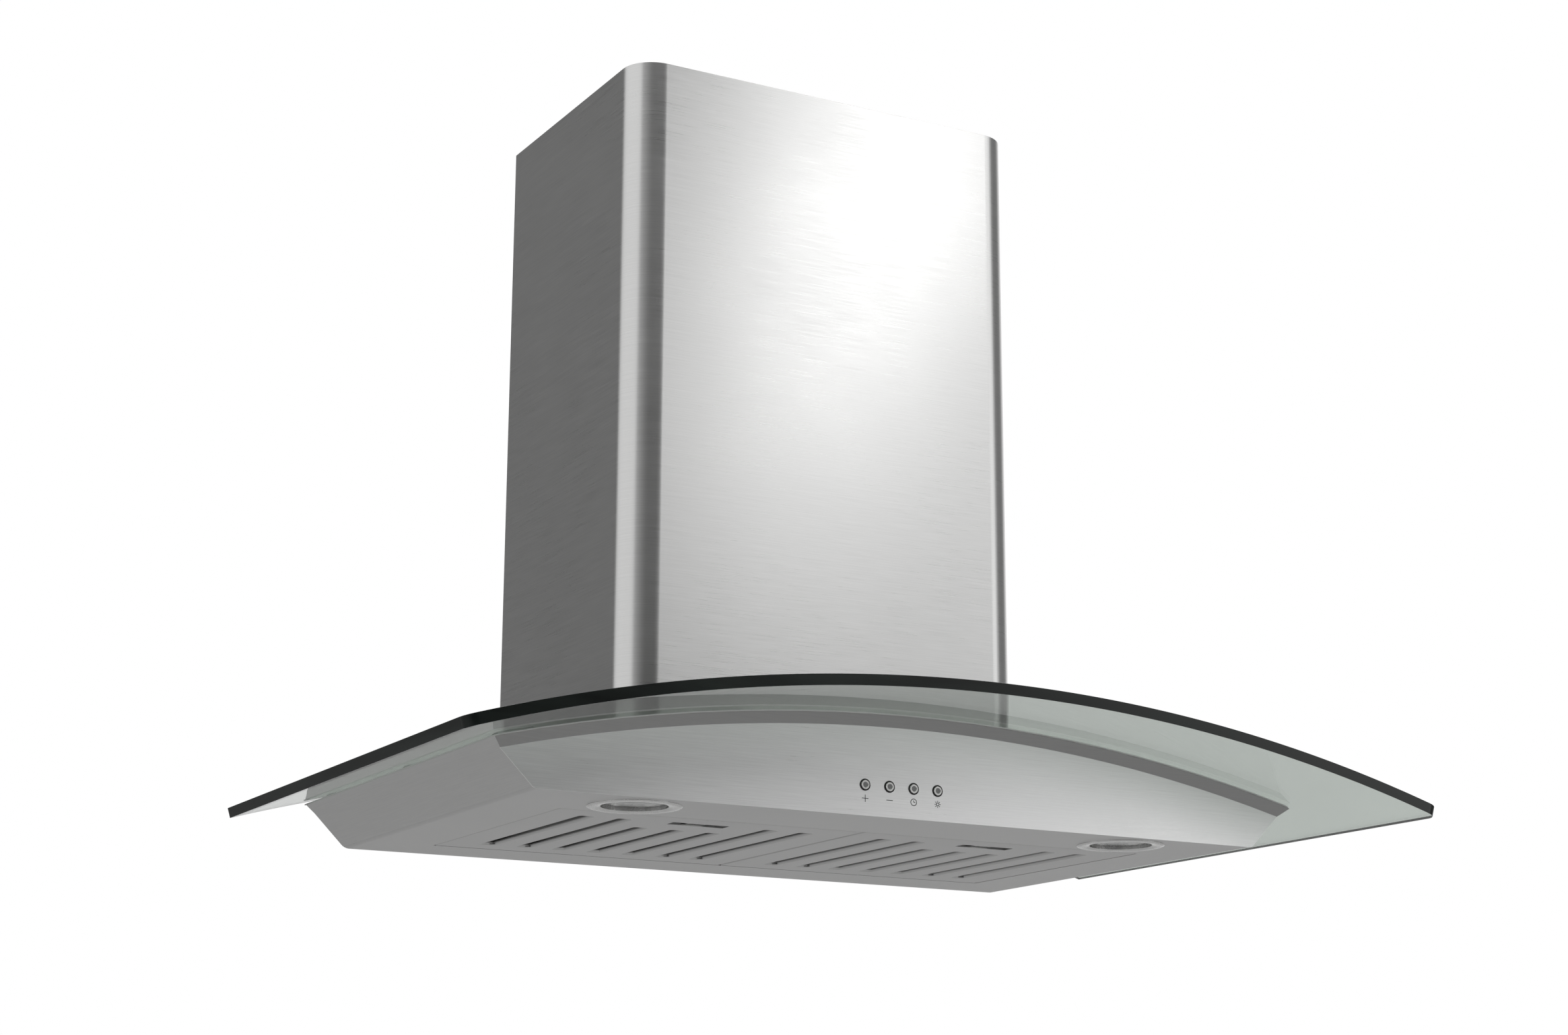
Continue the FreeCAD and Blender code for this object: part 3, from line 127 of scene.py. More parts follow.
# ---- sizes and colours that a user would change ----
class HoodSizes(bpy.types.PropertyGroup):
    """Sizes of the finished pieces, in metres."""

    bend_radius: FloatProperty(
        name="Glass bend radius", description="Radius of the canopy's underside",
        default=1.56, min=0.5, unit="LENGTH")
    glass_thickness: FloatProperty(
        name="Glass thickness", description="Thickness of the canopy",
        default=0.009, min=0.004, unit="LENGTH")
    glass_corner: FloatProperty(
        name="Glass corner", description="Radius of the canopy's front corners",
        default=0.010, min=0.001, unit="LENGTH")
    glass_arris: FloatProperty(
        name="Glass arris", description="Width of the polished chamfer along the canopy's edges",
        default=0.0009, min=0.0002, unit="LENGTH")
    notch_half: FloatProperty(
        name="Notch half width", description="Half the width of the canopy's cut-out under the chimney",
        default=0.174, min=0.05, unit="LENGTH")
    notch_depth: FloatProperty(
        name="Notch depth", description="Depth of the cut-out from the wall",
        default=0.262, min=0.05, unit="LENGTH")
    sheet: FloatProperty(
        name="Sheet", description="Thickness of the sheet steel",
        default=0.001, min=0.0004, unit="LENGTH")
    cover_corner: FloatProperty(
        name="Cover corner", description="Bend radius of the chimney's front corners",
        default=0.030, min=0.002, unit="LENGTH")
    return_width: FloatProperty(
        name="Return width", description="Width of the covers' rear returns",
        default=0.014, min=0.004, unit="LENGTH")
    body_bend: FloatProperty(
        name="Body bend", description="Outer bend radius between the underside and the flared sides",
        default=0.004, min=0.001, unit="LENGTH")
    edge_break: FloatProperty(
        name="Edge break", description="Rounding of cut sheet edges",
        default=0.00025, min=0.0001, unit="LENGTH")
    slot_width: FloatProperty(
        name="Slot width", description="Width of a filter's slots",
        default=0.0105, min=0.004, unit="LENGTH")
    slot_roll: FloatProperty(
        name="Slot roll", description="Radius of the pressed edge round each filter slot",
        default=0.0022, min=0.0005, unit="LENGTH")
    ring_segments: IntProperty(
        name="Ring segments", description="Steps round the lamps and buttons",
        default=72, min=24)


class HoodColours(bpy.types.PropertyGroup):
    """Colours of the finishes."""

    steel: FloatVectorProperty(
        name="Steel", description="Brushed stainless steel", subtype="COLOR",
        size=3, min=0, max=1, default=(0.62, 0.62, 0.615))
    panel_steel: FloatVectorProperty(
        name="Panel steel", description="The lighter front panel", subtype="COLOR",
        size=3, min=0, max=1, default=(0.86, 0.86, 0.86))
    zinc: FloatVectorProperty(
        name="Zinc", description="Galvanised sheet", subtype="COLOR",
        size=3, min=0, max=1, default=(0.46, 0.48, 0.49))
    glass: FloatVectorProperty(
        name="Glass", description="Tint of the canopy", subtype="COLOR",
        size=3, min=0, max=1, default=(0.50, 0.545, 0.51))
    glass_edge: FloatVectorProperty(
        name="Glass edge", description="The canopy's dark green edge", subtype="COLOR",
        size=3, min=0, max=1, default=(0.006, 0.010, 0.008))


# ---- working helpers ----
def deselect():
    """Object mode with nothing selected."""
    if bpy.context.object and bpy.context.object.mode != "OBJECT":
        bpy.ops.object.mode_set(mode="OBJECT")
    bpy.ops.object.select_all(action="DESELECT")


def named(name):
    """The primitive that was just added, renamed, with its place in its mesh."""
    piece = bpy.context.object
    piece.name = name
    piece.data.name = name
    bpy.ops.object.transform_apply(location=True, rotation=True, scale=True)
    return piece


def focus(piece):
    """Selects one piece alone and makes it active."""
    deselect()
    piece.select_set(True)
    bpy.context.view_layer.objects.active = piece


def edit(piece):
    """Edit mode on one piece, with nothing selected in it."""
    focus(piece)
    bpy.ops.object.mode_set(mode="EDIT")
    bpy.ops.mesh.select_mode(type="VERT")
    bpy.ops.mesh.select_all(action="DESELECT")


def pick_faces(piece, test):
    """Selects the faces whose centre and normal pass the test."""
    bpy.ops.mesh.select_mode(type="FACE")
    bpy.ops.mesh.select_all(action="DESELECT")
    mesh = bmesh.from_edit_mesh(piece.data)
    for face in mesh.faces:
        if test(face.calc_center_median(), face.normal):
            face.select_set(True)
    mesh.select_flush_mode()
    bmesh.update_edit_mesh(piece.data)


def pick_edges(piece, test):
    """Selects the edges whose two ends pass the test."""
    bpy.ops.mesh.select_mode(type="EDGE")
    bpy.ops.mesh.select_all(action="DESELECT")
    mesh = bmesh.from_edit_mesh(piece.data)
    for one in mesh.edges:
        if test(one.verts[0].co, one.verts[1].co):
            one.select_set(True)
    bmesh.update_edit_mesh(piece.data)


def leave():
    """Back to object mode."""
    bpy.ops.object.mode_set(mode="OBJECT")


def outward(piece):
    """Merges doubled points and turns every face outwards."""
    edit(piece)
    bpy.ops.mesh.select_all(action="SELECT")
    bpy.ops.mesh.remove_doubles(threshold=0.00001)
    bpy.ops.mesh.normals_make_consistent(inside=False)
    leave()


def flip(piece):
    """Turns every face of a piece round."""
    edit(piece)
    bpy.ops.mesh.select_all(action="SELECT")
    bpy.ops.mesh.flip_normals()
    leave()


def apply(piece, kind, **settings):
    """Adds one modifier, sets it and applies it."""
    focus(piece)
    modifier = piece.modifiers.new(kind.lower(), kind)
    for key, value in settings.items():
        setattr(modifier, key, value)
    bpy.ops.object.modifier_apply(modifier=modifier.name)


def soften(piece, width, segments=2, angle=40):
    """Rounds a piece's sharp edges."""
    apply(piece, "BEVEL", width=width, segments=segments, limit_method="ANGLE",
          angle_limit=math.radians(angle), use_clamp_overlap=True, harden_normals=False)


def cut(piece, cutter):
    """Takes the cutter's shape out of a piece and removes the cutter."""
    apply(piece, "BOOLEAN", operation="DIFFERENCE", solver="EXACT", object=cutter)
    bpy.data.objects.remove(cutter)


def smooth(piece):
    """Smooth shading that keeps flat faces flat and real edges crisp."""
    focus(piece)
    bpy.ops.object.shade_smooth_by_angle(angle=SMOOTH_ANGLE)
    apply(piece, "WEIGHTED_NORMAL", mode="FACE_AREA", weight=100, keep_sharp=True)


def paint(piece, finishes, choose=None):
    """Gives a piece its finishes; choose picks one by a face's centre and normal."""
    piece.data.materials.clear()
    for finish in finishes:
        piece.data.materials.append(finish)
    if choose:
        for face in piece.data.polygons:
            face.material_index = choose(face.center, face.normal)


def place(piece, body, slot, *nodes):
    """Smooths a finished piece, hangs it on its body and hides the nodes it stands for."""
    smooth(piece)
    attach(piece, body)
    if nodes:
        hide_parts(*nodes)


def paint_nodes(finish, *nodes):
    """Gives carried-over nodes their finish."""
    for node in nodes:
        NODES[node].data.materials.clear()
        NODES[node].data.materials.append(finish)


def copy_node(node, name):
    """A merged copy of a node's mesh, with flat faces in one piece."""
    deselect()
    piece = NODES[node].copy()
    piece.data = NODES[node].data.copy()
    piece.name = name
    piece.data.name = name
    piece.parent = None
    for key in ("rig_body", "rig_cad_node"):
        del piece[key]
    bpy.context.scene.collection.objects.link(piece)
    edit(piece)
    bpy.ops.mesh.customdata_custom_splitnormals_clear()
    bpy.ops.mesh.select_all(action="SELECT")
    bpy.ops.mesh.remove_doubles(threshold=0.00001)
    bpy.ops.mesh.dissolve_limited(angle_limit=math.radians(0.5))
    leave()
    return piece


def block(name, low, high):
    """A cube primitive that fills the box between two corners."""
    deselect()
    low, high = Vector(low), Vector(high)
    bpy.ops.mesh.primitive_cube_add(size=1, location=(low + high) / 2, scale=high - low)
    return named(name)


def turned(name, centre, profile, segments, closed=True):
    """A round piece about an upright axis: a circle pushed through (radius, height) steps."""
    deselect()
    radius, height = profile[0]
    bpy.ops.mesh.primitive_circle_add(
        vertices=segments, radius=radius, location=(centre[0], centre[1], centre[2] + height))
    piece = named(name)
    edit(piece)
    bpy.ops.mesh.select_all(action="SELECT")
    for step_radius, step_height in profile[1:]:
        bpy.ops.mesh.extrude_region_move(
            TRANSFORM_OT_translate={"value": (0, 0, step_height - height)})
        scale = step_radius / radius
        bpy.ops.transform.resize(value=(scale, scale, 1), center_override=tuple(centre))
        radius, height = step_radius, step_height
    if not closed:
        bpy.ops.mesh.edge_face_add()
        pick_edges(piece, lambda a, b: all(
            abs(p.z - centre[2] - profile[0][1]) < TINY / 10
            and abs(math.hypot(p.x - centre[0], p.y - centre[1]) - profile[0][0]) < TINY for p in (a, b)))
        bpy.ops.mesh.edge_face_add()
    leave()
    outward(piece)
    return piece


def lay_forward(piece, centre):
    """Turns a piece made upright so that its axis runs front to back: up becomes the front."""
    focus(piece)
    turn = Matrix.Translation(centre) @ Matrix.Rotation(math.radians(90), 4, "X")
    piece.matrix_world = turn @ Matrix.Translation(-Vector(centre))
    bpy.ops.object.transform_apply(location=True, rotation=True, scale=True)


# ---- finishes ----
def shader(name):
    """A new node material: its shader node and a way to add nodes."""
    made = bpy.data.materials.new(name)
    made.use_nodes = True
    tree = made.node_tree
    return made, tree, tree.nodes["Principled BSDF"]


def pattern(tree, scale, detail=3.0, kind="ShaderNodeTexNoise", **inputs):
    """A procedural texture on object coordinates, stretched by scale."""
    coords = tree.nodes.new("ShaderNodeTexCoord")
    mapping = tree.nodes.new("ShaderNodeMapping")
    mapping.inputs["Scale"].default_value = scale
    tree.links.new(coords.outputs["Object"], mapping.inputs["Vector"])
    texture = tree.nodes.new(kind)
    tree.links.new(mapping.outputs["Vector"], texture.inputs["Vector"])
    texture.inputs["Scale"].default_value = 1.0
    if "Detail" in texture.inputs:
        texture.inputs["Detail"].default_value = detail
    for key, value in inputs.items():
        texture.inputs[key].default_value = value
    return texture


def spread(tree, source, low, high):
    """Maps a texture's middle range to low..high."""
    node = tree.nodes.new("ShaderNodeMapRange")
    node.inputs["From Min"].default_value = 0.3
    node.inputs["From Max"].default_value = 0.7
    node.inputs["To Min"].default_value = low
    node.inputs["To Max"].default_value = high
    tree.links.new(source, node.inputs["Value"])
    return node.outputs["Result"]


def shade(tree, source, colour, amount):
    """A colour that varies by plus or minus amount with a texture."""
    mix = tree.nodes.new("ShaderNodeMix")
    mix.data_type = "RGBA"
    mix.inputs["A"].default_value = (*[c * (1 - amount) for c in colour], 1)
    mix.inputs["B"].default_value = (*[min(1.0, c * (1 + amount)) for c in colour], 1)
    tree.links.new(spread(tree, source, 0, 1), mix.inputs["Factor"])
    return mix.outputs["Result"]


def dent(tree, source, strength, distance):
    """A bump from a texture."""
    bump = tree.nodes.new("ShaderNodeBump")
    bump.inputs["Strength"].default_value = strength
    bump.inputs["Distance"].default_value = distance
    tree.links.new(source, bump.inputs["Height"])
    return bump.outputs["Normal"]


GRAINS = {
    "level": ((22, 22, 1400), (0, 0, 1)),
    "across": ((22, 1400, 1400), (0, 1, 0)),
    "along": ((1400, 22, 1400), (1, 0, 0)),
}


def brushed(name, colour, grain="level", rough=(0.27, 0.36), anisotropy=0.75, variation=0.05):
    """Brushed stainless steel: fine streaks that run level, across or along."""
    scale, stretch = GRAINS[grain]
    made, tree, steel = shader(name)
    steel.inputs["Metallic"].default_value = 1.0
    steel.inputs["Anisotropic"].default_value = anisotropy
    streaks = pattern(tree, scale, detail=4.0)
    clouds = pattern(tree, (7, 7, 7), detail=2.0)
    tree.links.new(shade(tree, streaks.outputs["Fac"], colour, variation), steel.inputs["Base Color"])
    blend = tree.nodes.new("ShaderNodeMath")
    blend.operation = "ADD"
    tree.links.new(spread(tree, streaks.outputs["Fac"], *rough), blend.inputs[0])
    tree.links.new(spread(tree, clouds.outputs["Fac"], -0.015, 0.015), blend.inputs[1])
    tree.links.new(blend.outputs["Value"], steel.inputs["Roughness"])
    tree.links.new(dent(tree, streaks.outputs["Fac"], 0.03, 0.0001), steel.inputs["Normal"])
    direction = tree.nodes.new("ShaderNodeCombineXYZ")
    for axis, value in zip("XYZ", stretch):
        direction.inputs[axis].default_value = value
    tree.links.new(direction.outputs["Vector"], steel.inputs["Tangent"])
    return made


def galvanised(name, colour):
    """Zinc-coated sheet with its flaky crystals."""
    made, tree, zinc = shader(name)
    zinc.inputs["Metallic"].default_value = 0.9
    flakes = pattern(tree, (70, 70, 70), kind="ShaderNodeTexVoronoi")
    fine = pattern(tree, (300, 300, 300), detail=5.0)
    tree.links.new(shade(tree, flakes.outputs["Color"], colour, 0.16), zinc.inputs["Base Color"])
    tree.links.new(spread(tree, fine.outputs["Fac"], 0.36, 0.5), zinc.inputs["Roughness"])
    tree.links.new(dent(tree, fine.outputs["Fac"], 0.08, 0.0002), zinc.inputs["Normal"])
    return made


def plated(name, colour, rough=0.22):
    """Bright plated steel with light wear."""
    made, tree, metal = shader(name)
    metal.inputs["Metallic"].default_value = 1.0
    wear = pattern(tree, (160, 160, 160), detail=4.0)
    tree.links.new(shade(tree, wear.outputs["Fac"], colour, 0.08), metal.inputs["Base Color"])
    tree.links.new(spread(tree, wear.outputs["Fac"], rough * 0.8, rough * 1.25), metal.inputs["Roughness"])
    return made


def moulded(name, colour, rough=0.42, grit=0.0001):
    """Moulded plastic with a fine skin."""
    made, tree, plastic = shader(name)
    skin = pattern(tree, (900, 900, 900), detail=3.0)
    tree.links.new(shade(tree, skin.outputs["Fac"], colour, 0.08), plastic.inputs["Base Color"])
    tree.links.new(spread(tree, skin.outputs["Fac"], rough * 0.85, rough * 1.15), plastic.inputs["Roughness"])
    tree.links.new(dent(tree, skin.outputs["Fac"], 0.12, grit), plastic.inputs["Normal"])
    return made


def board_green(name):
    """A printed circuit board with faint tracks."""
    made, tree, board = shader(name)
    tracks = pattern(tree, (240, 240, 240), kind="ShaderNodeTexVoronoi")
    tree.links.new(shade(tree, tracks.outputs["Color"], (0.02, 0.16, 0.06), 0.5), board.inputs["Base Color"])
    tree.links.new(spread(tree, tracks.outputs["Distance"], 0.25, 0.4), board.inputs["Roughness"])
    return made


def clear_glass(name, colour, rough=0.0, ripple=0.0):
    """Clear glass with a faint unevenness."""
    made, tree, glass = shader(name)
    glass.inputs["Transmission Weight"].default_value = 1.0
    glass.inputs["IOR"].default_value = 1.5
    glass.inputs["Roughness"].default_value = rough
    haze = pattern(tree, (5, 5, 5), detail=2.0)
    tree.links.new(shade(tree, haze.outputs["Fac"], colour, 0.02), glass.inputs["Base Color"])
    if ripple:
        waves = pattern(tree, (220, 220, 220), detail=2.0)
        tree.links.new(dent(tree, waves.outputs["Fac"], 0.4, ripple), glass.inputs["Normal"])
    return made


def polished_edge(name, colour):
    """The ground and polished edge of the glass, dark because one looks along the sheet."""
    made, tree, edge = shader(name)
    edge.inputs["Specular IOR Level"].default_value = 0.35
    depth = pattern(tree, (9, 9, 60), detail=3.0)
    tree.links.new(shade(tree, depth.outputs["Fac"], colour, 0.5), edge.inputs["Base Color"])
    tree.links.new(spread(tree, depth.outputs["Fac"], 0.16, 0.26), edge.inputs["Roughness"])
    return made


def dotted_cap(name):
    """The caps' dark middle with its fine woven dots."""
    made, tree, middle = shader(name)
    dots = pattern(tree, (1500, 1500, 1500), kind="ShaderNodeTexVoronoi")
    tree.links.new(shade(tree, dots.outputs["Distance"], (0.16, 0.16, 0.16), 0.7), middle.inputs["Base Color"])
    middle.inputs["Metallic"].default_value = 0.6
    tree.links.new(spread(tree, dots.outputs["Distance"], 0.35, 0.5), middle.inputs["Roughness"])
    return made


def finishes():
    """Every finish, made once and found by name afterwards."""
    colours = bpy.context.scene.hood_colours
    steel, panel, zinc = tuple(colours.steel), tuple(colours.panel_steel), tuple(colours.zinc)
    brushed("steel_level", steel)
    brushed("steel_across", steel, "across", rough=(0.32, 0.42), anisotropy=0.5)
    brushed("steel_along", steel, "along", rough=(0.30, 0.40), anisotropy=0.5)
    # painted shade: the lip's steel is darkened to 0.62 of the rest, standing in for the dim, shaded floor that
    # the lip reflects
    brushed("lip_painted_shade_steel", tuple(c * 0.62 for c in steel), "level", rough=(0.32, 0.42))
    brushed("panel_level", panel, "level", rough=(0.28, 0.38), variation=0.06)
    brushed("filter_along", tuple(c * 0.93 for c in steel), "along", rough=(0.34, 0.42), anisotropy=0.4)
    galvanised("zinc_sheet", zinc)
    plated("bright_plate", (0.66, 0.66, 0.65))
    plated("reflector", (0.86, 0.86, 0.86), rough=0.08)
    plated("button_ring", (0.74, 0.74, 0.73), rough=0.25)
    plated("cast_motor", (0.5, 0.51, 0.52), rough=0.45)
    clear_glass("canopy_clear", tuple(colours.glass))
    polished_edge("canopy_edge", tuple(colours.glass_edge))
    clear_glass("lamp_lens", (0.82, 0.83, 0.82), rough=0.12, ripple=0.0004)
    clear_glass("pad_gel", (0.8, 0.82, 0.8), rough=0.3)
    moulded("black_gloss", (0.012, 0.012, 0.012), rough=0.22, grit=0.00002)
    moulded("black_moulding", (0.025, 0.025, 0.026))
    moulded("white_moulding", (0.72, 0.72, 0.69))
    moulded("printed_ink", (0.045, 0.045, 0.048), rough=0.5, grit=0.00002)
    board_green("circuit_green")
    dotted_cap("cap_middle")


def finish(name):
    """A finish by its name."""
    return bpy.data.materials[name]


class HoodPiece:
    """What every operator here shares."""

    bl_options = {"REGISTER", "UNDO"}

    def execute(self, context):
        self.build(context.scene.hood_sizes)
        deselect()
        return {"FINISHED"}


# ---- the glass ----
class HOOD_OT_canopy(HoodPiece, bpy.types.Operator):
    """Spin the bent glass sheet, notch it round the blower box and polish its edges"""

    bl_idname = "hood.canopy"
    bl_label = "Glass canopy"

    def build(self, sizes):
        axis_z = GLASS_HIGH.z - sizes.bend_radius - sizes.glass_thickness
        outer = sizes.bend_radius + sizes.glass_thickness
        middle = sizes.bend_radius + sizes.glass_thickness / 2
        depth = GLASS_HIGH.y - GLASS_LOW.y
        deselect()
        bpy.ops.mesh.primitive_plane_add(
            size=1, location=(0, (GLASS_LOW.y + GLASS_HIGH.y) / 2, axis_z + middle),
            rotation=(0, math.radians(90), 0))
        bpy.context.object.scale = (sizes.glass_thickness, depth, 1)
        sheet = named("canopy_sheet")
        edit(sheet)
        bpy.ops.mesh.select_all(action="SELECT")
        bpy.ops.mesh.delete(type="ONLY_FACE")
        bpy.ops.mesh.select_all(action="SELECT")
        bpy.ops.mesh.spin(steps=40, angle=math.asin(GLASS_HIGH.x / outer),
                          center=(0, 0, axis_z), axis=(0, 1, 0))
        leave()
        side = 1 if max(v.co.x for v in sheet.data.vertices) > 0.1 else -1
        edit(sheet)
        end = max(abs(v.co.x) for v in bmesh.from_edit_mesh(sheet.data).verts)
        pick_edges(sheet, lambda a, b: min(a.x * side, b.x * side) > end - sizes.glass_thickness)
        bpy.ops.mesh.edge_face_add()
        pick_edges(sheet, lambda a, b: min(a.x * side, b.x * side) > end - sizes.glass_thickness
                   and max(a.y, b.y) < GLASS_LOW.y + TINY)
        bpy.ops.mesh.bevel(offset=sizes.glass_corner, segments=8, affect="EDGES")
        leave()
        apply(sheet, "MIRROR", use_axis=(True, False, False), merge_threshold=0.00001)
        outward(sheet)
        low, high = axis_z + sizes.bend_radius - 0.2, GLASS_HIGH.z + 0.1
        notch = block("notch", (-sizes.notch_half, -sizes.notch_depth, low), (sizes.notch_half, 0.05, high))
        edit(notch)
        pick_edges(notch, lambda a, b: max(a.y, b.y) < -0.1 and abs(a.z - b.z) > TINY)
        bpy.ops.mesh.bevel(offset=NOTCH_CORNER, segments=6, affect="EDGES")
        leave()
        cut(sheet, notch)
        soften(sheet, sizes.glass_arris, segments=2, angle=50)
        paint(sheet, [finish("canopy_clear"), finish("canopy_edge")],
              lambda c, n: 0 if abs(Vector((n.x, 0, n.z)).normalized().dot(
                  Vector((c.x, 0, c.z - axis_z)).normalized())) > 0.9 and abs(n.y) < 0.4 else 1)
        place(sheet, "hood", "canopy_glass", "glass_canopy")


# ---- the chimney ----
def cover(name, low, high, sizes, corner):
    """A three-sided cover with round front corners and rear returns."""
    piece = block(name, low, high)
    edit(piece)
    pick_faces(piece, lambda c, n: abs(n.z) > FLAT or n.y > FLAT)
    bpy.ops.mesh.delete(type="FACE")
    pick_edges(piece, lambda a, b: abs(a.z - b.z) > TINY and a.y < low[1] + TINY)
    bpy.ops.mesh.bevel(offset=corner, segments=20, affect="EDGES")
    for side in (-1, 1):
        pick_edges(piece, lambda a, b: abs(a.z - b.z) > TINY and a.y > high[1] - TINY and a.x * side > 0
                   and abs(a.x) > high[0] - TINY)
        bpy.ops.mesh.extrude_region_move(
            TRANSFORM_OT_translate={"value": (-side * (sizes.return_width + sizes.sheet), 0, 0)})
    pick_edges(piece, lambda a, b: abs(a.z - b.z) > TINY and a.y > high[1] - TINY
               and abs(a.x) > high[0] - TINY)
    bpy.ops.mesh.bevel(offset=1.5 * sizes.sheet, segments=4, affect="EDGES")
    leave()
    edit(piece)
    bpy.ops.mesh.select_all(action="SELECT")
    bpy.ops.mesh.normals_make_consistent(inside=False)
    leave()
    return piece


def wall_of(piece, sizes):
    """Gives an open cover its thickness, inwards."""
    if not any(face.normal.y < -FLAT for face in piece.data.polygons):
        flip(piece)
    apply(piece, "SOLIDIFY", thickness=sizes.sheet, offset=-1, use_even_offset=True)


class HOOD_OT_chimney(HoodPiece, bpy.types.Operator):
    """Bend the chimney's two covers and trim the lower one to the glass"""

    bl_idname = "hood.chimney"
    bl_label = "Chimney covers"

    def build(self, sizes):
        axis_z = GLASS_HIGH.z - sizes.bend_radius - sizes.glass_thickness
        low = (COVER_LOW.x, COVER_LOW.y, COVER_LOW.z - 0.01)
        lower = cover("chimney_lower_cover", low, tuple(COVER_HIGH), sizes, sizes.cover_corner)
        wall_of(lower, sizes)
        deselect()
        gap = 0.0003
        bpy.ops.mesh.primitive_cylinder_add(
            vertices=1080, radius=sizes.bend_radius + sizes.glass_thickness + gap, depth=1.5,
            location=(0, -0.3, axis_z), rotation=(math.radians(90), 0, 0))
        cut(lower, named("glass_curve"))
        soften(lower, sizes.edge_break, segments=1, angle=60)
        paint(lower, [finish("steel_level")])
        place(lower, "hood", "brushed_stainless", "chimney_cover")
        step = COVER_HIGH.x - SLEEVE_HIGH.x
        upper = cover("chimney_upper_cover", tuple(SLEEVE_LOW), tuple(SLEEVE_HIGH), sizes,
                      sizes.cover_corner - step)
        wall_of(upper, sizes)
        soften(upper, sizes.edge_break, segments=1, angle=60)
        paint(upper, [finish("steel_level")])
        place(upper, "upper_chimney", "brushed_stainless", "chimney_extension")
        bracket = copy_node("chimney_bracket", "wall_bracket")
        soften(bracket, 0.0004)
        paint(bracket, [finish("zinc_sheet")])
        place(bracket, "hood", "galvanised_steel", "chimney_bracket")


# ---- the body ----
class HOOD_OT_body(HoodPiece, bpy.types.Operator):
    """Round the body's bends and break the edges of its sheets"""

    bl_idname = "hood.body"
    bl_label = "Body sheets"

    def build(self, sizes):
        half = (PANEL_HIGH.x - PANEL_LOW.x) / 2
        shell = copy_node("hood_shell", "body_shell")
        edit(shell)
        pick_edges(shell, lambda a, b: abs(a.y - b.y) > LONG_EDGE and max(a.z, b.z) < RIM_Z + TINY
                   and min(abs(a.x), abs(b.x)) > SIDE_BEND_X)
        bpy.ops.mesh.bevel(offset=sizes.body_bend, segments=6, affect="EDGES")
        pick_edges(shell, lambda a, b: abs(a.y - b.y) > LONG_EDGE and max(a.z, b.z) < RIM_Z + 1.5 * sizes.sheet
                   and min(a.z, b.z) > RIM_Z + 0.5 * sizes.sheet and min(abs(a.x), abs(b.x)) > SIDE_BEND_X)
        bpy.ops.mesh.bevel(offset=sizes.body_bend - sizes.sheet, segments=6, affect="EDGES")
        leave()
        soften(shell, sizes.edge_break, segments=1, angle=50)
        # the front-facing faces, the lip, take the darkened steel, which is painted shade
        paint(shell, [finish("steel_across"), finish("steel_along"), finish("lip_painted_shade_steel")],
              lambda c, n: 2 if n.y < -0.3 else 0 if abs(n.x) < 0.5 else 1)
        place(shell, "hood", "brushed_stainless", "hood_shell")
        panel = copy_node("front_panel", "front_plate")
        edit(panel)
        pick_edges(panel, lambda a, b: abs(a.y - b.y) > sizes.sheet / 2 and max(a.z, b.z) < RIM_Z + TINY
                   and min(abs(a.x), abs(b.x)) < half)
        bpy.ops.mesh.bevel(offset=0.5 * sizes.body_bend, segments=4, affect="EDGES")
        leave()
        soften(panel, 1.4 * sizes.edge_break, segments=2, angle=50)
        paint(panel, [finish("panel_level")])
        place(panel, "hood", "panel_stainless", "front_panel")
        for node, name in (("top_plate", "glass_carrier"), ("back_plate", "rear_wall")):
            plate = copy_node(node, name)
            soften(plate, sizes.edge_break, segments=1, angle=50)
            paint(plate, [finish("steel_across" if node == "top_plate" else "zinc_sheet")])
            place(plate, "hood", "brushed_stainless" if node == "top_plate" else "galvanised_steel", node)


# ---- the filters ----
def score(where, direction):
    """Scores the whole edited sheet along a plane, keeping both sides."""
    bpy.ops.mesh.select_all(action="SELECT")
    bpy.ops.mesh.bisect(plane_co=where, plane_no=direction)


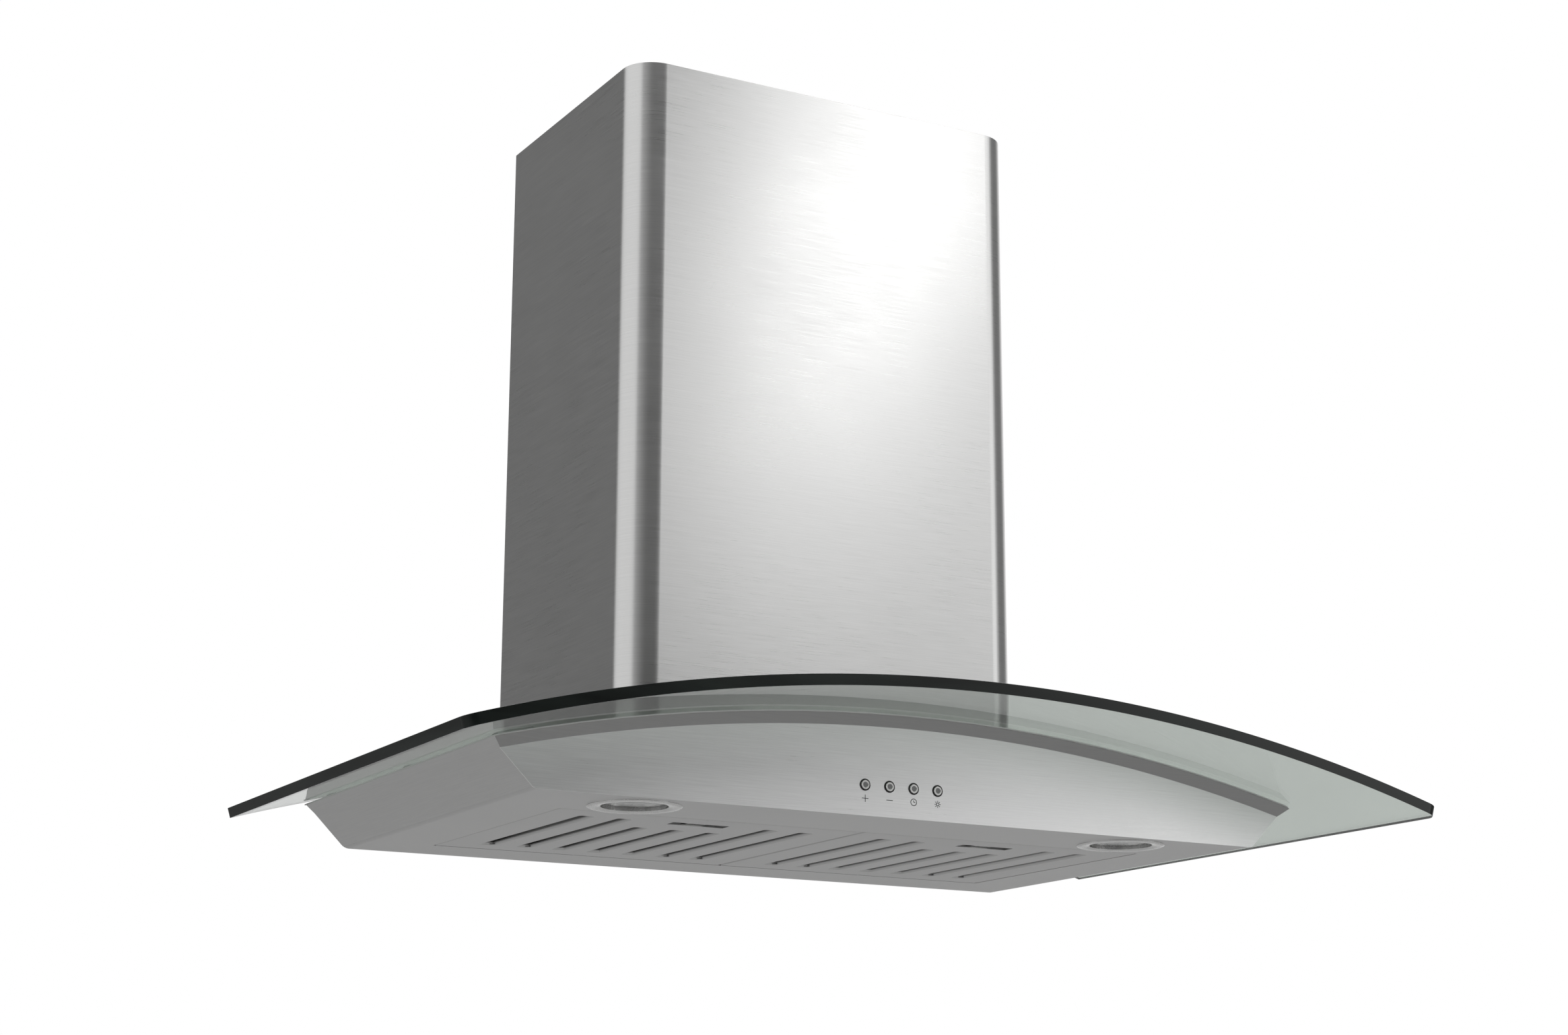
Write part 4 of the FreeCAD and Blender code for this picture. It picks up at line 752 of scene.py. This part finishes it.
def filter_tray(side, sizes):
    """A sheet scored at its openings, opened, its edges turned up and rolled."""
    low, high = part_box(f"filter_{side}_tray")
    rear = high.y - HOOK_REACH
    centre = (low.x + high.x) / 2
    half = sizes.slot_width / 2
    pitch = (high.x - low.x - 2 * SLOT_SIDE) / (SLOT_COUNT - 1)
    slots = []
    for number in range(SLOT_COUNT):
        steps = number - SLOT_COUNT // 2
        front = low.y + (SLOT_LATCH if abs(steps) <= 1 else SLOT_FRONT)
        slots.append((centre + steps * pitch, front))
    window = [low.y + y for y in WINDOW_Y]

    def in_slot(p, reach=0.0):
        return any(abs(p.x - x) < half + reach and front - reach < p.y < rear - SLOT_REAR + reach
                   for x, front in slots)

    def in_window(p):
        return abs(p.x - centre) < WINDOW_HALF and window[0] < p.y < window[1]

    def on_outline(p):
        return min(p.x - low.x, high.x - p.x) < TINY or min(p.y - low.y, rear - p.y) < TINY

    deselect()
    bpy.ops.mesh.primitive_plane_add(size=1, location=(centre, (low.y + rear) / 2, low.z))
    bpy.context.object.scale = (high.x - low.x, rear - low.y, 1)
    tray = named(f"filter_{side}_face")
    edit(tray)
    for x, front in slots:
        score((x - half, 0, 0), (1, 0, 0))
        score((x + half, 0, 0), (1, 0, 0))
    for reach in (WINDOW_HALF, GATE_HALF):
        score((centre - reach, 0, 0), (1, 0, 0))
        score((centre + reach, 0, 0), (1, 0, 0))
    for y in (low.y + SLOT_FRONT, low.y + SLOT_LATCH, rear - SLOT_REAR, *window):
        score((0, y, 0), (0, 1, 0))
    pick_faces(tray, lambda c, n: in_slot(c) or in_window(c))
    bpy.ops.mesh.delete(type="FACE")
    pick_edges(tray, lambda a, b: in_slot(a, TINY) and in_slot(b, TINY) and in_slot((a + b) / 2, TINY)
               and not in_slot((a + b) / 2, -TINY))
    bpy.ops.mesh.extrude_region_move(TRANSFORM_OT_translate={"value": (0, 0, SLOT_LIP)})
    pick_edges(tray, lambda a, b: on_outline(a) and on_outline(b) and on_outline((a + b) / 2))
    bpy.ops.mesh.extrude_region_move(TRANSFORM_OT_translate={"value": (0, 0, high.z - low.z)})
    pick_edges(tray, lambda a, b: abs(a.z - b.z) > SLOT_LIP / 2)
    bpy.ops.mesh.bevel(offset=sizes.slot_roll, segments=4, affect="EDGES")
    pick_edges(tray, lambda a, b: max(a.z, b.z) < low.z + TINY and not on_outline(a)
               and in_slot((a + b) / 2, TINY))
    bpy.ops.mesh.bevel(offset=sizes.slot_roll, segments=5, affect="EDGES")
    pick_edges(tray, lambda a, b: max(a.z, b.z) < low.z + TINY and on_outline((a + b) / 2))
    bpy.ops.mesh.bevel(offset=sizes.sheet, segments=3, affect="EDGES")
    gate = [low.z + z for z in GATE_Z]
    for z in gate:
        score((0, 0, z), (0, 0, 1))
    pick_faces(tray, lambda c, n: abs(c.x - centre) < GATE_HALF and c.y < low.y + TINY
               and gate[0] < c.z < gate[1])
    bpy.ops.mesh.delete(type="FACE")
    bpy.ops.mesh.select_all(action="SELECT")
    bpy.ops.mesh.normals_make_consistent(inside=False)
    leave()
    largest = max(tray.data.polygons, key=lambda face: face.area * (abs(face.normal.z) > FLAT))
    if largest.normal.z > 0:
        flip(tray)
    apply(tray, "SOLIDIFY", thickness=sizes.sheet, offset=-1, use_even_offset=True)
    extras = [block("stop", (centre - STOP_HALF, low.y + STOP_Y[0], low.z + sizes.sheet),
                    (centre + STOP_HALF, low.y + STOP_Y[1], low.z + STOP_TOP))]
    for x in (centre - HOOK_X, centre + HOOK_X):
        extras.append(block("hook", (x - HOOK_HALF, rear - sizes.sheet, low.z + 1.3 * sizes.sheet),
                            (x + HOOK_HALF, high.y, low.z + 2.3 * sizes.sheet)))
    for extra in extras:
        soften(extra, sizes.edge_break)
    deselect()
    for part in (tray, *extras):
        part.select_set(True)
    bpy.context.view_layer.objects.active = tray
    bpy.ops.object.join()
    return tray


def latch_spring(side):
    """A merged copy of the latch's spring; the real spring shortens as the latch slides."""
    return copy_node(f"filter_{side}_latch_spring", f"filter_{side}_latch_coil")


class HOOD_OT_filters(HoodPiece, bpy.types.Operator):
    """Press the filters' slotted faces and finish their latches, channels and springs"""

    bl_idname = "hood.filters"
    bl_label = "Baffle filters"

    def build(self, sizes):
        for side in SIDES:
            tray = filter_tray(side, sizes)
            paint(tray, [finish("filter_along")])
            body = f"filter_{side}"
            place(tray, body, "filter_steel", f"filter_{side}_tray")
            latch = copy_node(f"filter_{side}_latch", f"filter_{side}_catch")
            soften(latch, 0.0003)
            paint(latch, [finish("button_ring")])
            place(latch, f"latch_{side}", "filter_steel", f"filter_{side}_latch")
            channels = copy_node(f"filter_{side}_baffles", f"filter_{side}_channels")
            soften(channels, 0.0004)
            paint(channels, [finish("filter_along")])
            place(channels, body, "filter_steel", f"filter_{side}_baffles")
            spring = latch_spring(side)
            paint(spring, [finish("bright_plate")])
            place(spring, body, "bright_steel", f"filter_{side}_latch_spring")
            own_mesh(spring)


# ---- the lamps ----
class HOOD_OT_lamps(HoodPiece, bpy.types.Operator):
    """Turn the lamps' rings, lenses and reflectors"""

    bl_idname = "hood.lamps"
    bl_label = "Lamps"

    def build(self, sizes):
        steps = sizes.ring_segments
        for side in SIDES:
            low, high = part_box(f"lamp_{side}_trim")
            lens_low, lens_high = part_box(f"lamp_{side}_lens")
            bulb_low, bulb_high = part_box(f"lamp_{side}_bulb")
            centre = Vector(((low.x + high.x) / 2, (low.y + high.y) / 2, RIM_Z))
            rim, lens_r = (high.x - low.x) / 2, (lens_high.x - lens_low.x) / 2
            drop, neck = low.z - RIM_Z, high.z - RIM_Z
            recess, lens_top = lens_low.z - RIM_Z, lens_high.z - RIM_Z
            ring = turned(f"lamp_{side}_ring", centre, [
                (rim, 0), (rim, 0.4 * drop), (rim - 0.0012, 0.9 * drop), (rim - 0.003, drop),
                (lens_r + 0.0045, drop), (lens_r + 0.002, 0.7 * drop), (lens_r, 0.2 * drop),
                (lens_r, neck), (lens_r + sizes.sheet, neck), (lens_r + sizes.sheet, 0), (rim, 0)], steps)
            paint(ring, [finish("button_ring")])
            place(ring, "hood", "lamp_trim_steel", f"lamp_{side}_trim")
            lens = turned(f"lamp_{side}_glass", centre, [
                (0.0005, lens_top), (lens_r - 0.0002, lens_top), (lens_r - 0.0002, recess + 0.001),
                (0.8 * lens_r, recess + 0.0003), (0.4 * lens_r, recess), (0.0005, recess)], steps, closed=False)
            paint(lens, [finish("lamp_lens")])
            place(lens, "hood", "lamp_glass", f"lamp_{side}_lens")
            bulb_r, base = (bulb_high.x - bulb_low.x) / 2, bulb_low.z - RIM_Z
            top = bulb_high.z - RIM_Z
            bowl = turned(f"lamp_{side}_reflector", centre, [
                (0.003, base + 0.0075), (0.4 * bulb_r, base + 0.006), (0.75 * bulb_r, base + 0.003),
                (0.95 * bulb_r, base), (bulb_r, base), (bulb_r, base + 0.0006), (0.8 * bulb_r, base + 0.004),
                (0.5 * bulb_r, base + 0.009), (0.5 * bulb_r, top), (0.003, top)], steps, closed=False)
            paint(bowl, [finish("reflector")])
            place(bowl, "hood", "reflector_chrome", f"lamp_{side}_bulb")
            can = copy_node(f"lamp_{side}_housing", f"lamp_{side}_can")
            soften(can, 0.0004)
            paint(can, [finish("bright_plate")])
            place(can, "hood", "lamp_can", f"lamp_{side}_housing")


# ---- the buttons ----
class HOOD_OT_buttons(HoodPiece, bpy.types.Operator):
    """Turn the button caps and their rings, and finish what holds them"""

    bl_idname = "hood.buttons"
    bl_label = "Push buttons"

    def build(self, sizes):
        steps = sizes.ring_segments
        rings = []
        ring_low, ring_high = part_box("button_bezels")
        proud = PANEL_LOW.y - ring_low.y
        thick = PANEL_HIGH.y - PANEL_LOW.y
        for name in BUTTONS:
            low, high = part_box(f"button_{name}")
            flange_r = (high.x - low.x) / 2
            cap_r = flange_r - 0.0012
            centre = Vector(((low.x + high.x) / 2, PANEL_LOW.y, (low.z + high.z) / 2))
            front, back = PANEL_LOW.y - low.y, PANEL_LOW.y - high.y
            step = back + 0.0015
            cap = turned(f"cap_{name}", centre, [
                (0.0004, back), (flange_r, back), (flange_r, step), (cap_r, step), (cap_r, front - 0.0005),
                (cap_r - 0.0004, front), (0.0026, front), (0.0022, front - 0.0003),
                (0.0004, front - 0.0003)], steps, closed=False)
            lay_forward(cap, centre)
            paint(cap, [finish("button_ring"), finish("cap_middle")],
                  lambda c, n: 1 if math.hypot(c.x - centre.x, c.z - centre.z) < 0.0023 and n.y < -0.5 else 0)
            place(cap, f"{name}_button", "button_steel", f"button_{name}")
            outer = (ring_high.z - ring_low.z) / 2
            inner = cap_r + 0.0003
            ring = turned(f"ring_{name}", centre, [
                (outer, 0), (outer, 0.6 * proud), (outer - 0.0003, proud), (inner + 0.0002, proud),
                (inner, 0.7 * proud), (inner, -thick), (outer - 0.0004, -thick), (outer - 0.0004, 0),
                (outer, 0)], steps)
            lay_forward(ring, centre)
            rings.append(ring)
        deselect()
        for ring in rings:
            ring.select_set(True)
        bpy.context.view_layer.objects.active = rings[0]
        bpy.ops.object.join()
        rings[0].name = "button_rings"
        paint(rings[0], [finish("black_gloss")])
        place(rings[0], "hood", "black_ring", "button_bezels")
        holder = copy_node("button_holder", "button_guide")
        soften(holder, 0.0004)
        paint(holder, [finish("black_moulding")])
        place(holder, "hood", "black_plastic", "button_holder")
        paint_nodes(finish("printed_ink"), "button_symbols")
        paint_nodes(finish("circuit_green"), "switch_board")
        paint_nodes(finish("black_moulding"), "push_switches")


# ---- inside ----
class HOOD_OT_blower(HoodPiece, bpy.types.Operator):
    """Finish the blower box, the scroll, the motor and the wheel"""

    bl_idname = "hood.blower"
    bl_label = "Blower"

    def build(self, sizes):
        for node, name in (("motor_box", "blower_box"), ("scroll_housing", "blower_scroll"),
                           ("motor_bracket", "motor_arms")):
            piece = copy_node(node, name)
            soften(piece, sizes.edge_break, segments=1, angle=50)
            paint(piece, [finish("zinc_sheet")])
            place(piece, "hood", "galvanised_steel", node)
        motor = copy_node("motor", "motor_can")
        soften(motor, 0.002, segments=3)
        paint(motor, [finish("cast_motor")])
        place(motor, "hood", "motor_aluminium", "motor")
        paint_nodes(finish("zinc_sheet"), "impeller")
        paint_nodes(finish("bright_plate"), "motor_shaft", "box_screws", "bracket_screws")


class HOOD_OT_outlet(HoodPiece, bpy.types.Operator):
    """Finish the duct collar and its damper"""

    bl_idname = "hood.outlet"
    bl_label = "Outlet and damper"

    def build(self, sizes):
        collar = copy_node("duct_collar", "outlet_collar")
        soften(collar, 0.0003, segments=2, angle=50)
        paint(collar, [finish("zinc_sheet")])
        place(collar, "hood", "galvanised_steel", "duct_collar")
        for side in ("front", "rear"):
            flap = copy_node(f"damper_flap_{side}", f"damper_{side}_leaf")
            soften(flap, sizes.edge_break, segments=1, angle=50)
            paint(flap, [finish("zinc_sheet")])
            place(flap, f"damper_{side}", "galvanised_steel", f"damper_flap_{side}")
        paint_nodes(finish("bright_plate"), "damper_pin", "collar_screws")


class HOOD_OT_electrics(HoodPiece, bpy.types.Operator):
    """Finish the wiring cases, the board, the gland and the capacitor"""

    bl_idname = "hood.electrics"
    bl_label = "Electrics"

    def build(self, sizes):
        for node in ("control_case", "control_case_lid", "terminal_case", "terminal_case_lid"):
            piece = copy_node(node, node + "_sheet")
            soften(piece, 0.0008, segments=3, angle=50)
            paint(piece, [finish("zinc_sheet")])
            place(piece, "hood", "galvanised_steel", node)
        can = copy_node("capacitor", "motor_capacitor")
        soften(can, 0.0015, segments=3, angle=50)
        paint(can, [finish("white_moulding")])
        place(can, "hood", "white_plastic", "capacitor")
        gland = copy_node("cable_gland", "supply_gland")
        soften(gland, 0.0006, segments=2, angle=50)
        paint(gland, [finish("black_moulding")])
        place(gland, "hood", "black_plastic", "cable_gland")
        paint_nodes(finish("circuit_green"), "control_board")


class HOOD_OT_fixings(HoodPiece, bpy.types.Operator):
    """Finish the pads and bolts that hold the glass"""

    bl_idname = "hood.fixings"
    bl_label = "Glass fixings"

    def build(self, sizes):
        bolts = copy_node("glass_bolts", "canopy_bolts")
        soften(bolts, 0.0005, segments=2, angle=50)
        paint(bolts, [finish("bright_plate")])
        place(bolts, "hood", "bright_steel", "glass_bolts")
        paint_nodes(finish("pad_gel"), "glass_pads")


# ---- stage ----
WALL_RADIUS = 9.0
WALL_HEIGHT = 11.0
AZIMUTHS = (
    (-180, 0.55), (-168, 0.22), (-140, 0.15), (-131, 1.0), (-66, 1.0), (-58, 0.42), (-34, 0.14),
    (-26, 0.08), (18, 0.08), (24, 0.26), (30, 0.52), (34, 0.80), (38, 1.3), (54, 1.3), (62, 0.22),
    (100, 0.22), (118, 1.0), (180, 0.55),
)


def studio(world):
    """A white backdrop for the eye, for gloss and through glass, and a dimmer room as light."""
    world.use_nodes = True
    tree = world.node_tree
    room = tree.nodes["Background"]
    room.inputs["Color"].default_value = (0.42, 0.42, 0.42, 1)
    backdrop = tree.nodes.new("ShaderNodeBackground")
    backdrop.inputs["Color"].default_value = (1, 1, 1, 1)
    rays = tree.nodes.new("ShaderNodeLightPath")
    seen = rays.outputs["Is Camera Ray"]
    for kind in ("Is Transmission Ray", "Is Glossy Ray"):
        either = tree.nodes.new("ShaderNodeMath")
        either.operation = "MAXIMUM"
        tree.links.new(seen, either.inputs[0])
        tree.links.new(rays.outputs[kind], either.inputs[1])
        seen = either.outputs["Value"]
    mix = tree.nodes.new("ShaderNodeMixShader")
    tree.links.new(seen, mix.inputs["Fac"])
    tree.links.new(room.outputs["Background"], mix.inputs[1])
    tree.links.new(backdrop.outputs["Background"], mix.inputs[2])
    tree.links.new(mix.outputs["Shader"], tree.nodes["World Output"].inputs["Surface"])


def studio_walls():
    """Grey and white screens all round, out of the eye's way, which the metal reflects."""
    deselect()
    bpy.ops.mesh.primitive_cylinder_add(
        vertices=96, radius=WALL_RADIUS, depth=WALL_HEIGHT, end_fill_type="NOTHING",
        location=(0, 0, CAD_BOX[0].z + WALL_HEIGHT / 2 - 1.2))
    screens = named("studio_screens")
    made = bpy.data.materials.new("studio_screen")
    made.use_nodes = True
    tree = made.node_tree
    tree.nodes.clear()
    coords = tree.nodes.new("ShaderNodeTexCoord")
    split = tree.nodes.new("ShaderNodeSeparateXYZ")
    tree.links.new(coords.outputs["Object"], split.inputs["Vector"])
    flip = tree.nodes.new("ShaderNodeMath")
    flip.operation = "MULTIPLY"
    flip.inputs[1].default_value = -1.0
    tree.links.new(split.outputs["Y"], flip.inputs[0])
    azimuth = tree.nodes.new("ShaderNodeMath")
    azimuth.operation = "ARCTAN2"
    tree.links.new(split.outputs["X"], azimuth.inputs[0])
    tree.links.new(flip.outputs["Value"], azimuth.inputs[1])
    turn = tree.nodes.new("ShaderNodeMapRange")
    turn.inputs["From Min"].default_value = -math.pi
    turn.inputs["From Max"].default_value = math.pi
    tree.links.new(azimuth.outputs["Value"], turn.inputs["Value"])
    levels = tree.nodes.new("ShaderNodeValToRGB")
    stops = levels.color_ramp.elements
    stops.remove(stops[-1])
    for number, (degrees, level) in enumerate(AZIMUTHS):
        at = (degrees + 180) / 360
        stop = stops[0] if number == 0 else stops.new(at)
        stop.position = at
        stop.color = (level, level, level, 1)
    tree.links.new(turn.outputs["Result"], levels.inputs["Fac"])
    glow = tree.nodes.new("ShaderNodeEmission")
    tree.links.new(levels.outputs["Color"], glow.inputs["Color"])
    output = tree.nodes.new("ShaderNodeOutputMaterial")
    tree.links.new(glow.outputs["Emission"], output.inputs["Surface"])
    screens.data.materials.append(made)
    screens.visible_camera = False
    screens.visible_transmission = False
    screens.visible_diffuse = False
    screens.visible_shadow = False


def softbox(name, at, towards, size, power):
    """A rectangular lamp that looks at a point and isn't seen itself."""
    deselect()
    bpy.ops.object.light_add(type="AREA", location=at)
    lamp = bpy.context.object
    lamp.name = name
    lamp.rotation_euler = (Vector(towards) - Vector(at)).to_track_quat("-Z", "Y").to_euler()
    lamp.data.shape = "RECTANGLE"
    lamp.data.size, lamp.data.size_y = size
    lamp.data.energy = power
    lamp.visible_camera = False
    lamp.visible_transmission = False


FLOOR_SIZE = 24.0
FLOOR_DROP = 1.1                            # the floor below the hood
EYE_AT = (-1.1641, -2.2719, -0.3503)
EYE_TURN = (-29.114, 14.303, -0.168)        # yaw, pitch and roll in degrees
EYE_LENS = 62.06                            # in millimetres, on the sensor's width
EYE_SENSOR = 36.0
EYE_REACH = 50.0
# name, place, what it looks at, width and height, watts
LAMPS = (
    ("hot_spot", (1.03, -1.87, 1.28), (0.05, -0.27, 0.55), (0.36, 0.34), 1.3),
    ("front_fill", (0.83, -1.97, 1.0), (0, -0.27, 0.35), (0.55, 0.6), 0.9),
    ("key", (1.6, -1.6, 3.0), (0, -0.2, 0.1), (1.4, 1.4), 10),
    ("overhead", (-0.2, -0.6, 2.6), (0, -0.2, 0), (1.8, 1.8), 14),
)


class HOOD_OT_stage(bpy.types.Operator):
    """Set up the pale floor, the studio light and the camera"""

    bl_idname = "hood.stage"
    bl_label = "Stage"

    def execute(self, context):
        scene = context.scene
        deselect()
        bpy.ops.mesh.primitive_plane_add(size=FLOOR_SIZE, location=(0, 0, CAD_BOX[0].z - FLOOR_DROP))
        floor = named("floor")
        made, tree, coat = shader("floor_paint")
        specks = pattern(tree, (3, 3, 3))
        tree.links.new(shade(tree, specks.outputs["Fac"], (0.78, 0.78, 0.78), 0.01), coat.inputs["Base Color"])
        coat.inputs["Roughness"].default_value = 0.9
        coat.inputs["Specular IOR Level"].default_value = 0.1
        floor.data.materials.append(made)
        world = bpy.data.worlds.new("studio")
        scene.world = world
        studio(world)
        studio_walls()
        for lamp in LAMPS:
            softbox(*lamp)
        eye = bpy.data.cameras.new("camera")
        viewer = bpy.data.objects.new("camera", eye)
        scene.collection.objects.link(viewer)
        eye.sensor_width = EYE_SENSOR
        eye.lens = EYE_LENS
        eye.clip_end = EYE_REACH
        yaw, pitch, roll = (math.radians(v) for v in EYE_TURN)
        viewer.matrix_world = (
            Matrix.Translation(EYE_AT)
            @ Matrix.Rotation(yaw, 4, "Z") @ Matrix.Rotation(pitch, 4, "X")
            @ Matrix.Rotation(roll, 4, "Y") @ Matrix.Rotation(math.radians(90), 4, "X"))
        scene.camera = viewer
        scene.view_settings.view_transform = "Standard"
        return {"FINISHED"}


OPERATORS = (
    HOOD_OT_canopy, HOOD_OT_chimney, HOOD_OT_body, HOOD_OT_filters, HOOD_OT_lamps, HOOD_OT_buttons,
    HOOD_OT_blower, HOOD_OT_outlet, HOOD_OT_electrics, HOOD_OT_fixings, HOOD_OT_stage,
)


class HOOD_PT_panel(bpy.types.Panel):
    """Lists the pieces, their sizes and their colours."""

    bl_label = "Range hood"
    bl_idname = "HOOD_PT_panel"
    bl_space_type = "VIEW_3D"
    bl_region_type = "UI"
    bl_category = "Range hood"

    def draw(self, context):
        column = self.layout.column(align=True)
        for settings in (context.scene.hood_sizes, context.scene.hood_colours):
            for key in settings.__annotations__:
                column.prop(settings, key)
        for operator in OPERATORS:
            column.operator(operator.bl_idname)


CLASSES = (HoodSizes, HoodColours, *OPERATORS, HOOD_PT_panel)


def register():
    for one in CLASSES:
        bpy.utils.register_class(one)
    bpy.types.Scene.hood_sizes = PointerProperty(type=HoodSizes)
    bpy.types.Scene.hood_colours = PointerProperty(type=HoodColours)


def unregister():
    del bpy.types.Scene.hood_colours
    del bpy.types.Scene.hood_sizes
    for one in reversed(CLASSES):
        bpy.utils.unregister_class(one)


def main():
    register()
    finishes()
    for operator in OPERATORS:
        group, name = operator.bl_idname.split(".")
        getattr(getattr(bpy.ops, group), name)()


if __name__ == "__main__":
    main()
